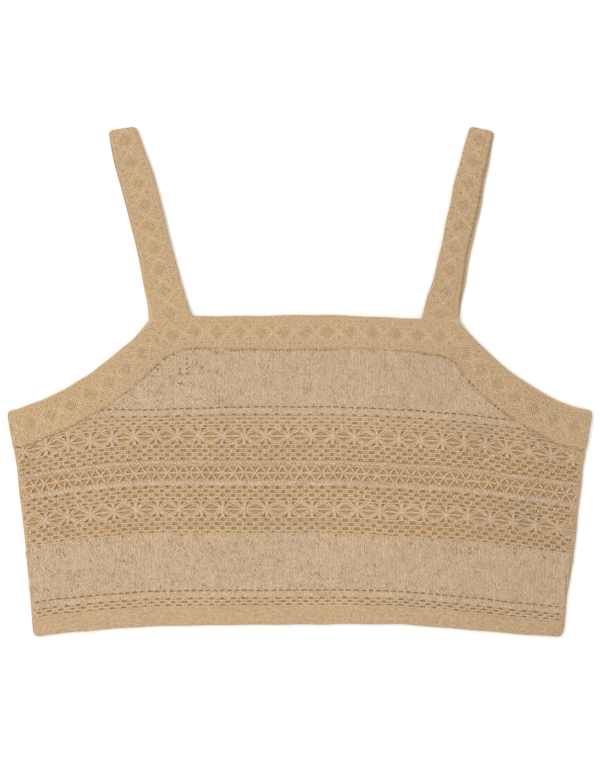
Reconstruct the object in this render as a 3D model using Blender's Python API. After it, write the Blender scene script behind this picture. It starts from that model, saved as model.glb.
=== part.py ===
"""Crochet crop top with folded shoulder straps, laid flat on its back.

Metres, +Z up. +X runs across the chest, +Y from the hem to the straps. Left and right
are as seen from above, with left at -X. Every cut piece is its own object, a cloth wall with
a narrow gap at each seam. The origin is under the middle of the garment.
"""

import math

import bmesh
import bpy
from mathutils import Vector
from mathutils.geometry import delaunay_2d_cdt

MM = 0.001

# Heights of the layers above the surface that the top lies on.
SEAM_GAP = 0.3 * MM
BACK_TOP = 1.5 * MM
FRONT_BOTTOM = BACK_TOP + SEAM_GAP
LINING_TOP = FRONT_BOTTOM + 1.0 * MM
LACE_BOTTOM = LINING_TOP + SEAM_GAP
LACE_TOP = LACE_BOTTOM + 1.5 * MM
TRIM_TOP = LACE_TOP + 0.2 * MM
HEM_TOP = LACE_TOP - 0.2 * MM
STRAP_THICKNESS = 2.0 * MM
STRAP_FOLD_HEIGHT = STRAP_THICKNESS + 0.5 * SEAM_GAP

# The front rolls down to the back along the side seams.
ROLL_WIDTH = 5.0 * MM
ROLL_DROP = LACE_BOTTOM - FRONT_BOTTOM
ROLL_LINES = (1.5 * MM, 5.0 * MM)
ROLL_END = 2.0 * MM
LINING_INSET = 6.5 * MM

# Side seams: y, x of the left seam, x of the right seam (mm).
SIDE_SEAMS = (
    (-20.3, -205.4, 205.4),
    (-50.4, -199.8, 200.6),
    (-61.6, -198.0, 198.7),
    (-78.4, -196.8, 196.2),
    (-120.4, -192.0, 191.8),
    (-148.4, -189.1, 187.9),
    (-179.0, -186.6, 184.0),
)

# Trims: outer edge x, y, then the point of the seam across from it x, y (mm).
LEFT_ARMHOLE = (
    (-105.7, 43.4, -93.8, 17.5),
    (-114.8, 32.8, -101.5, 11.2),
    (-131.6, 18.3, -116.2, -2.1),
    (-148.4, 5.7, -133.7, -15.4),
    (-165.2, -5.0, -152.6, -26.6),
    (-182.0, -13.2, -172.2, -36.4),
    (-196.0, -18.1, -188.3, -43.1),
    (-205.4, -20.3, -200.8, -46.2),
)
RIGHT_ARMHOLE = (
    (111.3, 43.4, 105.0, 16.1),
    (117.6, 34.9, 108.9, 12.3),
    (128.8, 23.7, 116.2, 2.8),
    (145.6, 8.6, 130.9, -11.6),
    (162.4, -2.4, 147.7, -24.9),
    (179.2, -12.6, 167.3, -36.1),
    (192.5, -17.5, 182.0, -43.8),
    (205.4, -20.3, 200.3, -48.3),
)
NECK = (
    (-105.7, 43.4, -93.8, 17.5),
    (-88.0, 44.5, -84.0, 21.8),
    (-70.0, 46.0, -68.0, 23.6),
    (0.0, 46.8, 0.0, 22.6),
    (40.0, 46.3, 40.0, 23.4),
    (77.0, 44.7, 77.0, 21.3),
    (95.0, 44.1, 92.0, 19.3),
    (111.3, 43.4, 105.0, 16.1),
)

# Straps from the neck to the shoulder fold: outer edge x, y, inner edge x, y, and
# how far the back half shows past the front half at the outer edge (mm).
LEFT_STRAP = (
    (-106.1, 43.9, -75.3, 46.0, 0.2),
    (-107.0, 56.0, -79.9, 59.9, 0.3),
    (-110.3, 72.8, -85.9, 78.8, 0.4),
    (-115.2, 95.2, -91.8, 101.2, 0.6),
    (-120.9, 117.6, -97.1, 123.6, 0.9),
    (-126.3, 140.0, -102.8, 146.0, 1.2),
    (-131.3, 159.6, -110.1, 165.2, 1.2),
    (-134.1, 174.4, -114.4, 177.2, 0.6),
)
RIGHT_STRAP = (
    (111.7, 43.9, 85.1, 44.85, 0.2),
    (113.7, 56.0, 89.8, 59.5, 1.4),
    (116.5, 72.8, 94.9, 77.7, 2.6),
    (120.4, 95.2, 99.9, 100.1, 2.8),
    (125.4, 117.6, 104.3, 122.5, 2.5),
    (129.9, 140.0, 109.7, 144.9, 2.4),
    (133.0, 156.8, 114.4, 161.7, 2.0),
    (136.4, 173.8, 118.7, 177.1, 1.0),
)
FOLD_STEPS = 5
STRAP_BACK_STEP = 24.0 * MM
MITRE_GAP = 1.4 * SEAM_GAP

# Cross-sections from the outer to the inner edge: share of the width, and depth
# below the top of the band (mm).
TRIM_SECTION = ((0, 1.5), (0.05, 0.4), (0.27, 0), (0.5, 0), (0.73, 0), (0.95, 0.2), (1, 0.7))
STRAP_SECTION = ((0, 0.7), (0.06, 0.1), (0.27, 0), (0.5, 0), (0.73, 0), (0.94, 0.1), (1, 0.7))
HEM_SECTION = ((0, 1.2), (0.1, 0.3), (0.5, 0), (0.9, 0.2), (1, 0.6))
BACK_SECTION = ((0, 0.5), (0.08, 0), (0.92, 0), (1, 0.2))
MIDDLE_COLUMN = 3
HEM_STEPS = 24

# Crochet pattern of the front panel. Heights are those at the middle of the chest.
STAR_PITCH = 15.6 * MM
LATTICE_PITCH = 0.5 * STAR_PITCH
STAR_ROWS = (-37.8 * MM, -88.9 * MM)
STAR_GAP_HEIGHT = 4.1 * MM
STAR_YARN = 1.2 * MM
LATTICE_ROW = -63.5 * MM
LATTICE_HEIGHT = 5.3 * MM
LATTICE_YARN = 1.05 * MM
HOLE_MARGIN = 2.0 * MM
HOLE_SIDE_MARGIN = 6.0 * MM
HEM_SEAM = -156.8 * MM
HEM_EDGE = -169.7 * MM

# How unevenly the lace lies: x, pull to the right in the upper and in the lower star row,
# and drop (mm).
LACE_PULL = (
    (-175.0, 0.8, 1.7, 0.3),
    (-130.0, 2.0, 1.4, -0.2),
    (-87.0, 1.5, 0.4, 0.3),
    (-40.0, 0.2, 0.2, -0.2),
    (7.0, 0.4, -0.4, 0.4),
    (55.0, 0.9, -0.6, 0.0),
    (101.0, 0.3, -1.2, -0.6),
    (133.0, 0.7, -2.2, -0.9),
    (163.0, 1.0, -3.4, -0.1),
    (180.0, 1.0, -3.4, 0.6),
)
PULL_END = -151.0 * MM

# Ribs: top and bottom of each ribbed stretch.
RIB_BANDS = ((40.0 * MM, -15.4 * MM), (-106.5 * MM, -144.0 * MM))
RIB_PITCH = STAR_PITCH / 3
RIB_RISE = 0.4 * MM
RIB_FADE = 1.2 * MM
RIB_MARGIN = 1.5 * MM
RIB_SIDE_MARGIN = 8.0 * MM

# Raised lozenges along the trims and straps.
LOZENGE_PITCH = STAR_PITCH
LOZENGE_RISE = 0.45 * MM

# The rows bow down towards the sides: where that starts, and how strongly.
LEFT_BOW = (-105.0 * MM, 0.384)
RIGHT_BOW = (21.0 * MM, 0.208)
# y (mm), shares of the bow on the left and on the right, and of the upper and lower sag.
BOW_SHARES = (
    (-17.1, 1.0, 1.0, 1.0, 0.0),
    (-36.0, 1.0, 1.0, 0.0, 0.0),
    (-106.0, 1.0, 1.0, 0.0, 0.0),
    (-151.0, 0.95, 0.87, 0.0, 0.75),
    (-170.0, 0.95, 0.66, 0.0, 1.0),
)
# How the rows sag as the top happens to lie: x, sag of the uppermost row and of the hem (mm).
ROW_SAG = (
    (-180.0, 0.0, 0.6),
    (-150.0, 0.0, 1.2),
    (-133.0, 0.0, 1.3),
    (-119.0, 2.0, 1.5),
    (-105.0, 2.4, 1.5),
    (-91.0, 2.0, 1.3),
    (-70.0, 1.3, 0.9),
    (-49.0, 0.6, 0.2),
    (-30.0, 0.0, 0.0),
    (14.0, 0.3, 0.4),
    (42.0, 0.2, -0.7),
    (56.0, 0.0, -1.3),
    (73.0, 0.0, -1.8),
    (98.0, 0.6, -0.5),
    (119.0, 0.6, -0.2),
    (161.0, 0.0, 0.0),
)


def material(name, colour, roughness):
    """A plain cloth material."""
    made = bpy.data.materials.new(name)
    made.use_nodes = True
    shader = made.node_tree.nodes["Principled BSDF"]
    shader.inputs["Base Color"].default_value = (*colour, 1.0)
    shader.inputs["Roughness"].default_value = roughness
    shader.inputs["Metallic"].default_value = 0.0
    return made


def read_table(table, key, column):
    """Value of a column at a key, on straight lines between the rows (mm in, metres out)."""
    rows = sorted(table)
    key = min(max(key / MM, rows[0][0]), rows[-1][0])
    for low, high in zip(rows, rows[1:]):
        if key <= high[0]:
            share = (key - low[0]) / (high[0] - low[0])
            return (low[column] + share * (high[column] - low[column])) * MM
    return rows[-1][column] * MM


def side_seams(y):
    """x of the left and of the right side seam at a height."""
    return read_table(SIDE_SEAMS, y, 1), read_table(SIDE_SEAMS, y, 2)


def bow(x, y):
    """How far a crochet row has come down at x, for a row at height y in the middle."""
    start, strength = LEFT_BOW if x < 0 else RIGHT_BOW
    past = max(0.0, start - x) if x < 0 else max(0.0, x - start)
    share, upper, lower = (read_table(BOW_SHARES, y, k) / MM for k in (1 if x < 0 else 2, 3, 4))
    sag = upper * read_table(ROW_SAG, x, 1) + lower * read_table(ROW_SAG, x, 2)
    return share * strength * past**1.5 + sag


def lace_place(x, y, row):
    """Where a point of the even lace pattern lies, in a row at a height in the middle."""
    share = min(max((STAR_ROWS[0] - row) / (STAR_ROWS[0] - STAR_ROWS[1]), 0.0), 1.0)
    pull = (1.0 - share) * read_table(LACE_PULL, x, 1) + share * read_table(LACE_PULL, x, 2)
    held = min(max((row - PULL_END) / (STAR_ROWS[1] - PULL_END), 0.0), 1.0)
    return x + pull, y - bow(x, row) - held * read_table(LACE_PULL, x, 3)


def row_end(y, side):
    """x where a crochet row meets the left (0) or right (1) side seam."""
    x = side_seams(y)[side]
    return side_seams(y - bow(x, y))[side]


def row_point(y, share, inset):
    """Point on a crochet row at a share of the way from left to right, inside the seams."""
    left, right = row_end(y, 0) + inset, row_end(y, 1) - inset
    x = left + share * (right - left)
    return x, y - bow(x, y)


def side_roll(x, y):
    """Drop of the front towards the nearest side seam."""
    left, right = side_seams(y)
    inside = max(0.0, min(x - left, right - x))
    return ROLL_DROP * max(0.0, 1.0 - inside / ROLL_WIDTH) ** 2


def table_row(rows, place):
    """Row at a place along a table, on a smooth curve through its rows (metres)."""
    first = min(int(place), len(rows) - 2)
    u = place - first
    last = len(rows) - 1
    near = [rows[min(max(first + k, 0), last)] for k in (-1, 0, 1, 2)]
    values = []
    for a, b, c, d in zip(*near):
        bend = (2 * a - 5 * b + 4 * c - d) * u**2 + (3 * b - a - 3 * c + d) * u**3
        values.append(0.5 * (2 * b + (c - a) * u + bend) * MM)
    return values


def spaced_rows(rows, step):
    """Rows at whole steps along the middle line of a table, counted both ways from its
    middle, with the two ends. Also the place of the middle row in the list."""
    fine = [table_row(rows, i / 40) for i in range(40 * (len(rows) - 1) + 1)]
    middles = [Vector((0.5 * (r[0] + r[2]), 0.5 * (r[1] + r[3]))) for r in fine]
    lengths = [0.0]
    for a, b in zip(middles, middles[1:]):
        lengths.append(lengths[-1] + (b - a).length)
    steps = int(lengths[-1] / 2 / step - 0.3)
    picked = [fine[0]]
    for n in range(-steps, steps + 1):
        wanted = lengths[-1] / 2 + n * step
        picked.append(fine[min(range(len(fine)), key=lambda i: abs(lengths[i] - wanted))])
    picked.append(fine[-1])
    return picked, steps + 1


def finish(name, bm, cloth, collection):
    """Turn the faces outwards and make the named object."""
    bmesh.ops.recalc_face_normals(bm, faces=bm.faces)
    mesh = bpy.data.meshes.new(name)
    bm.to_mesh(mesh)
    bm.free()
    mesh.shade_smooth()
    mesh.set_sharp_from_angle(angle=math.radians(35))
    mesh.materials.append(cloth)
    collection.objects.link(bpy.data.objects.new(name, mesh))


def loft(name, rings, split, middle, cloth, collection):
    """Closed body through equal rings. The first `split` faces between two rings are cut
    into triangles by turns, so that a point raised at the middle column, an even number
    of rings from the middle ring, makes a lozenge."""
    bm = bmesh.new()
    made = [[bm.verts.new(point) for point in ring] for ring in rings]
    count = len(rings[0])
    for i, (ring, after) in enumerate(zip(made, made[1:])):
        for j in range(count):
            k = (j + 1) % count
            corners = (ring[j], ring[k], after[k], after[j])
            if j >= split:
                bm.faces.new(corners)
            elif (i - middle + j - MIDDLE_COLUMN) % 2:
                bm.faces.new((corners[0], corners[1], corners[2]))
                bm.faces.new((corners[0], corners[2], corners[3]))
            else:
                bm.faces.new((corners[0], corners[1], corners[3]))
                bm.faces.new((corners[1], corners[2], corners[3]))
    bm.faces.new(made[0])
    bm.faces.new(reversed(made[-1]))
    finish(name, bm, cloth, collection)


def is_lozenge(i, middle, count):
    """Whether ring i carries the top of a raised lozenge that is whole."""
    return (i - middle) % 2 == 0 and 2 <= i <= count - 3


def band(name, spaced, section, heights, on_top, lozenges, cloth, collection):
    """A trim or hem band, with one ring across it at each row of its table."""
    rows, middle = spaced
    bottom, top = heights
    rings = []
    for i, row in enumerate(rows):
        outer, inner = Vector(row[0:2]), Vector(row[2:4])
        ring = []
        for j, (share, depth) in enumerate(section):
            place = outer.lerp(inner, share)
            height = top - depth * MM
            if on_top:
                height -= side_roll(place.x, place.y)
            if lozenges and j == MIDDLE_COLUMN and is_lozenge(i, middle, len(rows)):
                height += LOZENGE_RISE
            ring.append((place.x, place.y, height))
        ring.append((inner.x, inner.y, bottom))
        ring.append((outer.x, outer.y, bottom))
        rings.append(ring)
    loft(name, rings, len(section) - 1, middle, cloth, collection)


def strap(name, table, cloth, collection):
    """One strip, from the front neck up to the shoulder fold and back down behind."""
    front, middle = spaced_rows(table, 0.5 * LOZENGE_PITCH)
    back, _ = spaced_rows(table, STRAP_BACK_STEP)
    crown = front[-1]
    across = Vector((crown[2] - crown[0], crown[3] - crown[1])).normalized()
    onward = Vector((-across.y, across.x))
    if onward.y < 0:
        onward.negate()
    places = [(row, 0.0) for row in front]
    places += [(crown, math.pi * n / FOLD_STEPS) for n in range(1, FOLD_STEPS)]
    places += [(row, math.pi) for row in reversed(back)]
    rings = []
    for i, (row, turn) in enumerate(places):
        outer, inner = Vector(row[0:2]), Vector(row[2:4])
        shown = (inner - outer).normalized() * row[4]
        behind = turn / math.pi
        outer += shown * (1.0 - behind)
        inner -= shown * behind
        ring = []
        for j, (share, depth) in enumerate(STRAP_SECTION):
            reach = STRAP_FOLD_HEIGHT - depth * MM
            place = outer.lerp(inner, share) + onward * reach * math.sin(turn)
            height = STRAP_FOLD_HEIGHT + reach * math.cos(turn)
            if j == MIDDLE_COLUMN and is_lozenge(i, middle, len(front)):
                height += LOZENGE_RISE
            ring.append((place.x, place.y, height))
        reach = 0.5 * SEAM_GAP
        for point in (inner, outer):
            place = point + onward * reach * math.sin(turn)
            ring.append((place.x, place.y, STRAP_FOLD_HEIGHT + reach * math.cos(turn)))
        rings.append(ring)
    loft(name, rings, len(STRAP_SECTION) - 1, middle, cloth, collection)


def is_inside(place, sides):
    """Whether a place is inside closed loops of sides, by the crossings to its right."""
    crossings = 0
    for a, b in sides:
        if (a.y > place.y) != (b.y > place.y):
            crossings += place.x < a.x + (b.x - a.x) * (place.y - a.y) / (b.y - a.y)
    return crossings % 2 == 1


def fill(loops, lines):
    """Flat triangles between an outline, its holes and any lines drawn inside: the points
    with their rise, the triangles, and the place of each loop point."""
    points, rises, edges = [], [], []
    for loop in loops:
        first = len(points)
        points += [Vector(point) for point in loop]
        rises += [0.0] * len(loop)
        edges += [(first + i, first + (i + 1) % len(loop)) for i in range(len(loop))]
    sides = [(points[a], points[b]) for a, b in edges]
    for line in lines:
        first = len(points)
        points += [Vector(point[:2]) for point in line]
        rises += [point[2] for point in line]
        edges += [(first + i, first + i + 1) for i in range(len(line) - 1)]
    result = delaunay_2d_cdt(points, edges, [], 0, 1e-7, True)
    placed, _, triangles, sources = result[:4]
    place_of = {source: i for i, found in enumerate(sources) for source in found}
    raised = [max((rises[source] for source in found), default=0.0) for found in sources]
    kept = []
    for triangle in triangles:
        middle = sum((placed[i] for i in triangle), Vector((0.0, 0.0))) / 3
        if is_inside(middle, sides):
            kept.append(triangle)
    return list(zip(placed, raised)), kept, place_of


def wall(name, loops, creases, ribs, heights, cloth, collection):
    """A cloth wall inside its outline, the first loop, and around its holes. The outer skin
    carries the ribs, and the inner one is plain. A wall with creases rolls at the sides."""
    bm = bmesh.new()
    skins = []
    for height, lines in zip(heights, (creases, creases + ribs)):
        points, triangles, place_of = fill(loops, lines)
        verts = []
        for place, rise in points:
            drop = side_roll(place.x, place.y) if creases else 0.0
            verts.append(bm.verts.new((place.x, place.y, height + rise - drop)))
        for triangle in triangles:
            bm.faces.new([verts[i] for i in triangle])
        skins.append([verts[place_of[i]] for i in range(sum(len(loop) for loop in loops))])
    inner, outer = skins
    first = 0
    for loop in loops:
        for i in range(len(loop)):
            a, b = first + i, first + (i + 1) % len(loop)
            bm.faces.new((outer[a], outer[b], inner[b], inner[a]))
        first += len(loop)
    finish(name, bm, cloth, collection)


def height_at(line, x):
    """y of a line that runs from left to right, at x."""
    for a, b in zip(line, line[1:]):
        if a[0] <= x <= b[0]:
            return a[1] + (b[1] - a[1]) * (x - a[0]) / (b[0] - a[0])
    return min(line[0][1], line[-1][1])


def trim_seam(left, neck, right):
    """Line from left to right along which the trims are sewn to the panels."""
    rows = left[::-1] + neck[1:-1] + right
    return [(row[2], row[3]) for row in rows]


def hem_shares():
    """Places along the hem from left to right, closer together where the sides roll."""
    width = row_end(HEM_SEAM, 1) - row_end(HEM_SEAM, 0)
    ends = [line / width for line in ROLL_LINES]
    middle = [i / HEM_STEPS for i in range(1, HEM_STEPS)]
    return [0.0] + ends + middle + [1.0 - end for end in reversed(ends)] + [1.0]


def panel_outline(seam, inset):
    """Outline of a panel: hem seam, right side, trim seam and left side, anticlockwise.
    The sides come in by the inset."""
    hem = [row_point(HEM_SEAM, share, inset) for share in hem_shares()]
    left, right = [], []
    for y in [row[0] * MM for row in SIDE_SEAMS]:
        if hem[0][1] + inset < y < seam[0][1] - inset:
            left.append((side_seams(y)[0] + inset, y))
        if hem[-1][1] + inset < y < seam[-1][1] - inset:
            right.append((side_seams(y)[1] - inset, y))
    first, last = seam[0][0] + inset, seam[-1][0] - inset
    rolled = [first + line for line in ROLL_LINES] + [last - line for line in ROLL_LINES]
    across = sorted([first, last] + rolled + [x for x, _ in seam if first < x < last])
    top = [(x, height_at(seam, x)) for x in across]
    return hem + right[::-1] + top[::-1] + left


def shrink(outline, distance):
    """The outline moved inwards by a distance."""
    moved = []
    for i, point in enumerate(outline):
        here = Vector(point)
        before = (here - Vector(outline[i - 1])).normalized()
        after = (Vector(outline[(i + 1) % len(outline)]) - here).normalized()
        normal = Vector((-before.y - after.y, before.x + after.x)).normalized()
        moved.append(tuple(here + normal * distance / max(0.3, normal.dot((-after.y, after.x)))))
    return moved


def gap_triangle(x, row, half, height, yarn):
    """The hole between three yarns: a triangle on the row with its base centred at x, and
    its point up or down by the height, less half a yarn along each side."""
    leg = math.hypot(half, height)
    inner_radius = half * abs(height) / (half + leg)
    middle = math.copysign(inner_radius, height)
    scale = 1.0 - 0.5 * yarn / inner_radius
    corners = ((-half, 0.0), (half, 0.0), (0.0, height))
    places = [(x + scale * dx, row + middle + scale * (dy - middle)) for dx, dy in corners]
    return [lace_place(px, py, row) for px, py in places]


def lace_holes(seam):
    """The holes that are cut through: the lattice, and the gaps between the stars."""
    holes = []
    count = int(-SIDE_SEAMS[0][1] * MM / LATTICE_PITCH) + 1
    for n in range(-count, count + 1):
        x = n * LATTICE_PITCH
        for way in (LATTICE_HEIGHT, -LATTICE_HEIGHT):
            half = 0.5 * LATTICE_PITCH
            holes.append(gap_triangle(x + half, LATTICE_ROW, half, way, LATTICE_YARN))
            holes.append(gap_triangle(x, LATTICE_ROW + way, half, -way, LATTICE_YARN))
        for row in STAR_ROWS:
            for way in (STAR_GAP_HEIGHT, -STAR_GAP_HEIGHT):
                if n % 2 == 0:
                    holes.append(gap_triangle(x, row, 0.5 * STAR_PITCH, way, STAR_YARN))
    return [hole for hole in holes if all(on_panel(point, seam) for point in hole)]


def on_panel(point, seam):
    """Whether a point of a hole is well inside the panel."""
    x, y = point
    left, right = side_seams(y)
    beside = min(x - left, right - x) > HOLE_SIDE_MARGIN
    return beside and y < height_at(seam, x) - HOLE_MARGIN


def rib_lines(seam):
    """Crest and valley lines of the ribs: each point has x, y and its rise."""
    lines = []
    count = int(-SIDE_SEAMS[0][1] * MM / RIB_PITCH) + 1
    for half_step in range(-2 * count, 2 * count + 1):
        x = 0.5 * half_step * RIB_PITCH
        for band_top, band_bottom in RIB_BANDS:
            place, low = lace_place(x, band_bottom, band_bottom)
            high = min(lace_place(x, band_top, band_top)[1], height_at(seam, place) - RIB_MARGIN)
            left, right = side_seams(low)
            beside = min(place - left, right - place) > RIB_SIDE_MARGIN
            if not beside or high - low < 4 * RIB_FADE:
                continue
            if half_step % 2:
                lines.append([(place, high, 0.0), (place, low, 0.0)])
            else:
                crest = [(place, high - RIB_FADE, RIB_RISE), (place, low + RIB_FADE, RIB_RISE)]
                lines.append([(place, high, 0.0)] + crest + [(place, low, 0.0)])
    return lines


def roll_lines(seam):
    """Lines along the side seams where the front rolls down. They end short of the hem
    seam and the trim seam."""
    lines = []
    for side, way, end in ((0, 1, seam[0]), (1, -1, seam[-1])):
        low = row_point(HEM_SEAM, side, 0.0)[1] + ROLL_END
        high = end[1] - ROLL_END
        levels = [row[0] * MM for row in SIDE_SEAMS if low < row[0] * MM < high]
        for inset in ROLL_LINES:
            heights = [high] + levels + [low]
            lines.append([(side_seams(y)[side] + way * inset, y, 0.0) for y in heights])
    return lines


def off_mitre(spaced):
    """An armhole trim starts a seam gap away from the mitre where it meets the neck trim."""
    rows, middle = spaced
    share = MITRE_GAP / math.dist(rows[0][0:2], rows[1][0:2])
    start = [a + (b - a) * share for a, b in zip(rows[0], rows[1])]
    return [start] + rows[1:], middle


def main():
    for old in list(bpy.data.objects):
        bpy.data.objects.remove(old, do_unlink=True)
    top = bpy.data.collections.new("crochet_top")
    bpy.context.scene.collection.children.link(top)
    crochet = material("crochet_yarn", (0.56, 0.41, 0.27), 0.9)
    trim = material("trim_knit", (0.56, 0.38, 0.21), 0.9)
    lining = material("lining_knit", (0.44, 0.28, 0.12), 0.9)

    tables = (LEFT_ARMHOLE, NECK, RIGHT_ARMHOLE)
    left_trim, neck_trim, right_trim = (spaced_rows(rows, 0.5 * LOZENGE_PITCH) for rows in tables)
    seam = trim_seam(left_trim[0], neck_trim[0], right_trim[0])
    body = shrink(panel_outline(seam, 0.0), SEAM_GAP)
    inside = shrink(panel_outline(seam, LINING_INSET), SEAM_GAP)
    back = (0.0, BACK_TOP)
    front = (FRONT_BOTTOM, TRIM_TOP)

    wall("back_panel", [body], [], [], back, crochet, top)
    wall("front_lining", [inside], [], [], (FRONT_BOTTOM, LINING_TOP), lining, top)
    wall("front_crochet_panel", [body] + lace_holes(seam), roll_lines(seam), rib_lines(seam),
         (LACE_BOTTOM, LACE_TOP), crochet, top)

    trims = {
        "armhole_trim_left": off_mitre(left_trim),
        "neck_trim": neck_trim,
        "armhole_trim_right": off_mitre(right_trim),
    }
    for name, spaced in trims.items():
        band("front_" + name, spaced, TRIM_SECTION, front, True, True, trim, top)
        band("back_" + name, spaced, BACK_SECTION, back, False, False, trim, top)
    edge = [row_point(HEM_EDGE, share, 0.0) for share in hem_shares()]
    stitched = [row_point(HEM_SEAM, share, 0.0) for share in hem_shares()]
    hem = ([(*low, *high) for low, high in zip(edge, stitched)], len(edge) // 2)
    band("front_hem_band", hem, HEM_SECTION, (FRONT_BOTTOM, HEM_TOP), True, False, trim, top)
    band("back_hem_band", hem, BACK_SECTION, back, False, False, trim, top)
    strap("strap_left", LEFT_STRAP, trim, top)
    strap("strap_right", RIGHT_STRAP, trim, top)


main()
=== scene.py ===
import math
from itertools import product

import bmesh
import bpy
import numpy as np
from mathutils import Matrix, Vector
from mathutils.geometry import delaunay_2d_cdt


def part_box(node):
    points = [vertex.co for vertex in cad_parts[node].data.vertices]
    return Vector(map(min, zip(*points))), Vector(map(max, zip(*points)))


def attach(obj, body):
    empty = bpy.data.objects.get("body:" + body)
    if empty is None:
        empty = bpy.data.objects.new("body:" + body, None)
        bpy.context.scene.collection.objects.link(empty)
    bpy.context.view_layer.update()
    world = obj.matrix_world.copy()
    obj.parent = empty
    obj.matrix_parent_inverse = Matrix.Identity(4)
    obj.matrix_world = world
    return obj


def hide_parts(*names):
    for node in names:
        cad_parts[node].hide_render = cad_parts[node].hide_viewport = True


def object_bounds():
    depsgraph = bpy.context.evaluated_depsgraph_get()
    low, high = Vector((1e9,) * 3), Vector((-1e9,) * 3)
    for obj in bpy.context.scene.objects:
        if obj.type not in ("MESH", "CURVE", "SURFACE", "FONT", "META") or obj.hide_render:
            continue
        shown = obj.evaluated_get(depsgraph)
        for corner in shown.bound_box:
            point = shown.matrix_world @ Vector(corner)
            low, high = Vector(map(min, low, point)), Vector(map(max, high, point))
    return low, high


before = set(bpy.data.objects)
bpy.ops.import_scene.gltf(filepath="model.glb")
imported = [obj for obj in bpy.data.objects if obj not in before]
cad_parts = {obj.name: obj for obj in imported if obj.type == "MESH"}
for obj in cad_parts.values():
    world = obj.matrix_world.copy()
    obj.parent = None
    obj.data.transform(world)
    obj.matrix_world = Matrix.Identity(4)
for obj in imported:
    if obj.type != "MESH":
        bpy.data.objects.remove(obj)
cad_low, cad_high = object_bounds()


# Back panel. One plain piece of fine cotton jersey, cut to the outline between the side
# seams, the trims and the hem. It lies on the surface and carries everything else.
MM = 0.001
SIDE_SEAMS = (  # y, x of the left seam, x of the right seam (mm)
    (-179.0, -186.6, 184.0),
    (-148.4, -189.1, 187.9),
    (-120.4, -192.0, 191.8),
    (-78.4, -196.8, 196.2),
    (-61.6, -198.0, 198.7),
    (-50.4, -199.8, 200.6),
    (-20.3, -205.4, 205.4),
)
LEFT_ARMHOLE = (  # outer edge x, y, then the point of the seam across from it x, y (mm)
    (-105.7, 43.4, -93.8, 17.5),
    (-114.8, 32.8, -101.5, 11.2),
    (-131.6, 18.3, -116.2, -2.1),
    (-148.4, 5.7, -133.7, -15.4),
    (-165.2, -5.0, -152.6, -26.6),
    (-182.0, -13.2, -172.2, -36.4),
    (-196.0, -18.1, -188.3, -43.1),
    (-205.4, -20.3, -200.8, -46.2),
)
RIGHT_ARMHOLE = (
    (111.3, 43.4, 105.0, 16.1),
    (117.6, 34.9, 108.9, 12.3),
    (128.8, 23.7, 116.2, 2.8),
    (145.6, 8.6, 130.9, -11.6),
    (162.4, -2.4, 147.7, -24.9),
    (179.2, -12.6, 167.3, -36.1),
    (192.5, -17.5, 182.0, -43.8),
    (205.4, -20.3, 200.3, -48.3),
)
NECK = (
    (-105.7, 43.4, -93.8, 17.5),
    (-88.0, 44.5, -84.0, 21.8),
    (-70.0, 46.0, -68.0, 23.6),
    (0.0, 46.8, 0.0, 22.6),
    (40.0, 46.3, 40.0, 23.4),
    (77.0, 44.7, 77.0, 21.3),
    (95.0, 44.1, 92.0, 19.3),
    (111.3, 43.4, 105.0, 16.1),
)
LEFT_BOW = (-105.0 * MM, 0.384)  # where the rows start to bow down, and how strongly
RIGHT_BOW = (21.0 * MM, 0.208)
BOW_SHARES = (  # y (mm), shares of the left and right bow, and of the upper and lower sag
    (-170.0, 0.95, 0.66, 0.0, 1.0),
    (-151.0, 0.95, 0.87, 0.0, 0.75),
    (-106.0, 1.0, 1.0, 0.0, 0.0),
    (-36.0, 1.0, 1.0, 0.0, 0.0),
    (-17.1, 1.0, 1.0, 1.0, 0.0),
)
ROW_SAG = (  # x, sag of the uppermost row and of the hem as the top lies (mm)
    (-180.0, 0.0, 0.6),
    (-150.0, 0.0, 1.2),
    (-133.0, 0.0, 1.3),
    (-119.0, 2.0, 1.5),
    (-105.0, 2.4, 1.5),
    (-91.0, 2.0, 1.3),
    (-70.0, 1.3, 0.9),
    (-49.0, 0.6, 0.2),
    (-30.0, 0.0, 0.0),
    (14.0, 0.3, 0.4),
    (42.0, 0.2, -0.7),
    (56.0, 0.0, -1.3),
    (73.0, 0.0, -1.8),
    (98.0, 0.6, -0.5),
    (119.0, 0.6, -0.2),
    (161.0, 0.0, 0.0),
)
HEM_SEAM = -156.8 * MM
SEAM_GAP = 0.3 * MM
OUTLINE_STEP = 4.0 * MM
OUTLINE_POINTS = 80  # along the hem
CURVE_STEPS = 80  # from one row of a table to the next
LAID_WAVES = (  # moved axis, how far (mm), mm of x and of y for each radian, start
    (0, 0.16, 31.0, 7.1, 0.0),
    (0, 0.28, math.inf, 17.0, 1.3),
    (0, 0.20, 3.4, 6.0, 0.0),
    (1, 0.26, 15.0, math.inf, 0.8),
    (1, 0.14, 5.3, 15.0, 0.0),
)
SHARP_EDGE = math.radians(50)
BACK_BOTTOM, BACK_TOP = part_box("back_panel")[0].z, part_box("back_panel")[1].z


def column(table, key, index):
    """Value of a table's column at a key, on straight lines between its rows."""
    return np.interp(key, [row[0] * MM for row in table], [row[index] * MM for row in table])


def side_seams(y):
    return column(SIDE_SEAMS, y, 1), column(SIDE_SEAMS, y, 2)


def bow(x, y):
    """How far a row has come down at x, for a row at height y in the middle."""
    left = LEFT_BOW[1] * np.maximum(0.0, LEFT_BOW[0] - x) ** 1.5
    right = RIGHT_BOW[1] * np.maximum(0.0, x - RIGHT_BOW[0]) ** 1.5
    shares = [column(BOW_SHARES, y, k) / MM for k in (1, 2, 3, 4)]
    sag = shares[2] * column(ROW_SAG, x, 1) + shares[3] * column(ROW_SAG, x, 2)
    return left * shares[0] + right * shares[1] + sag


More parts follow.
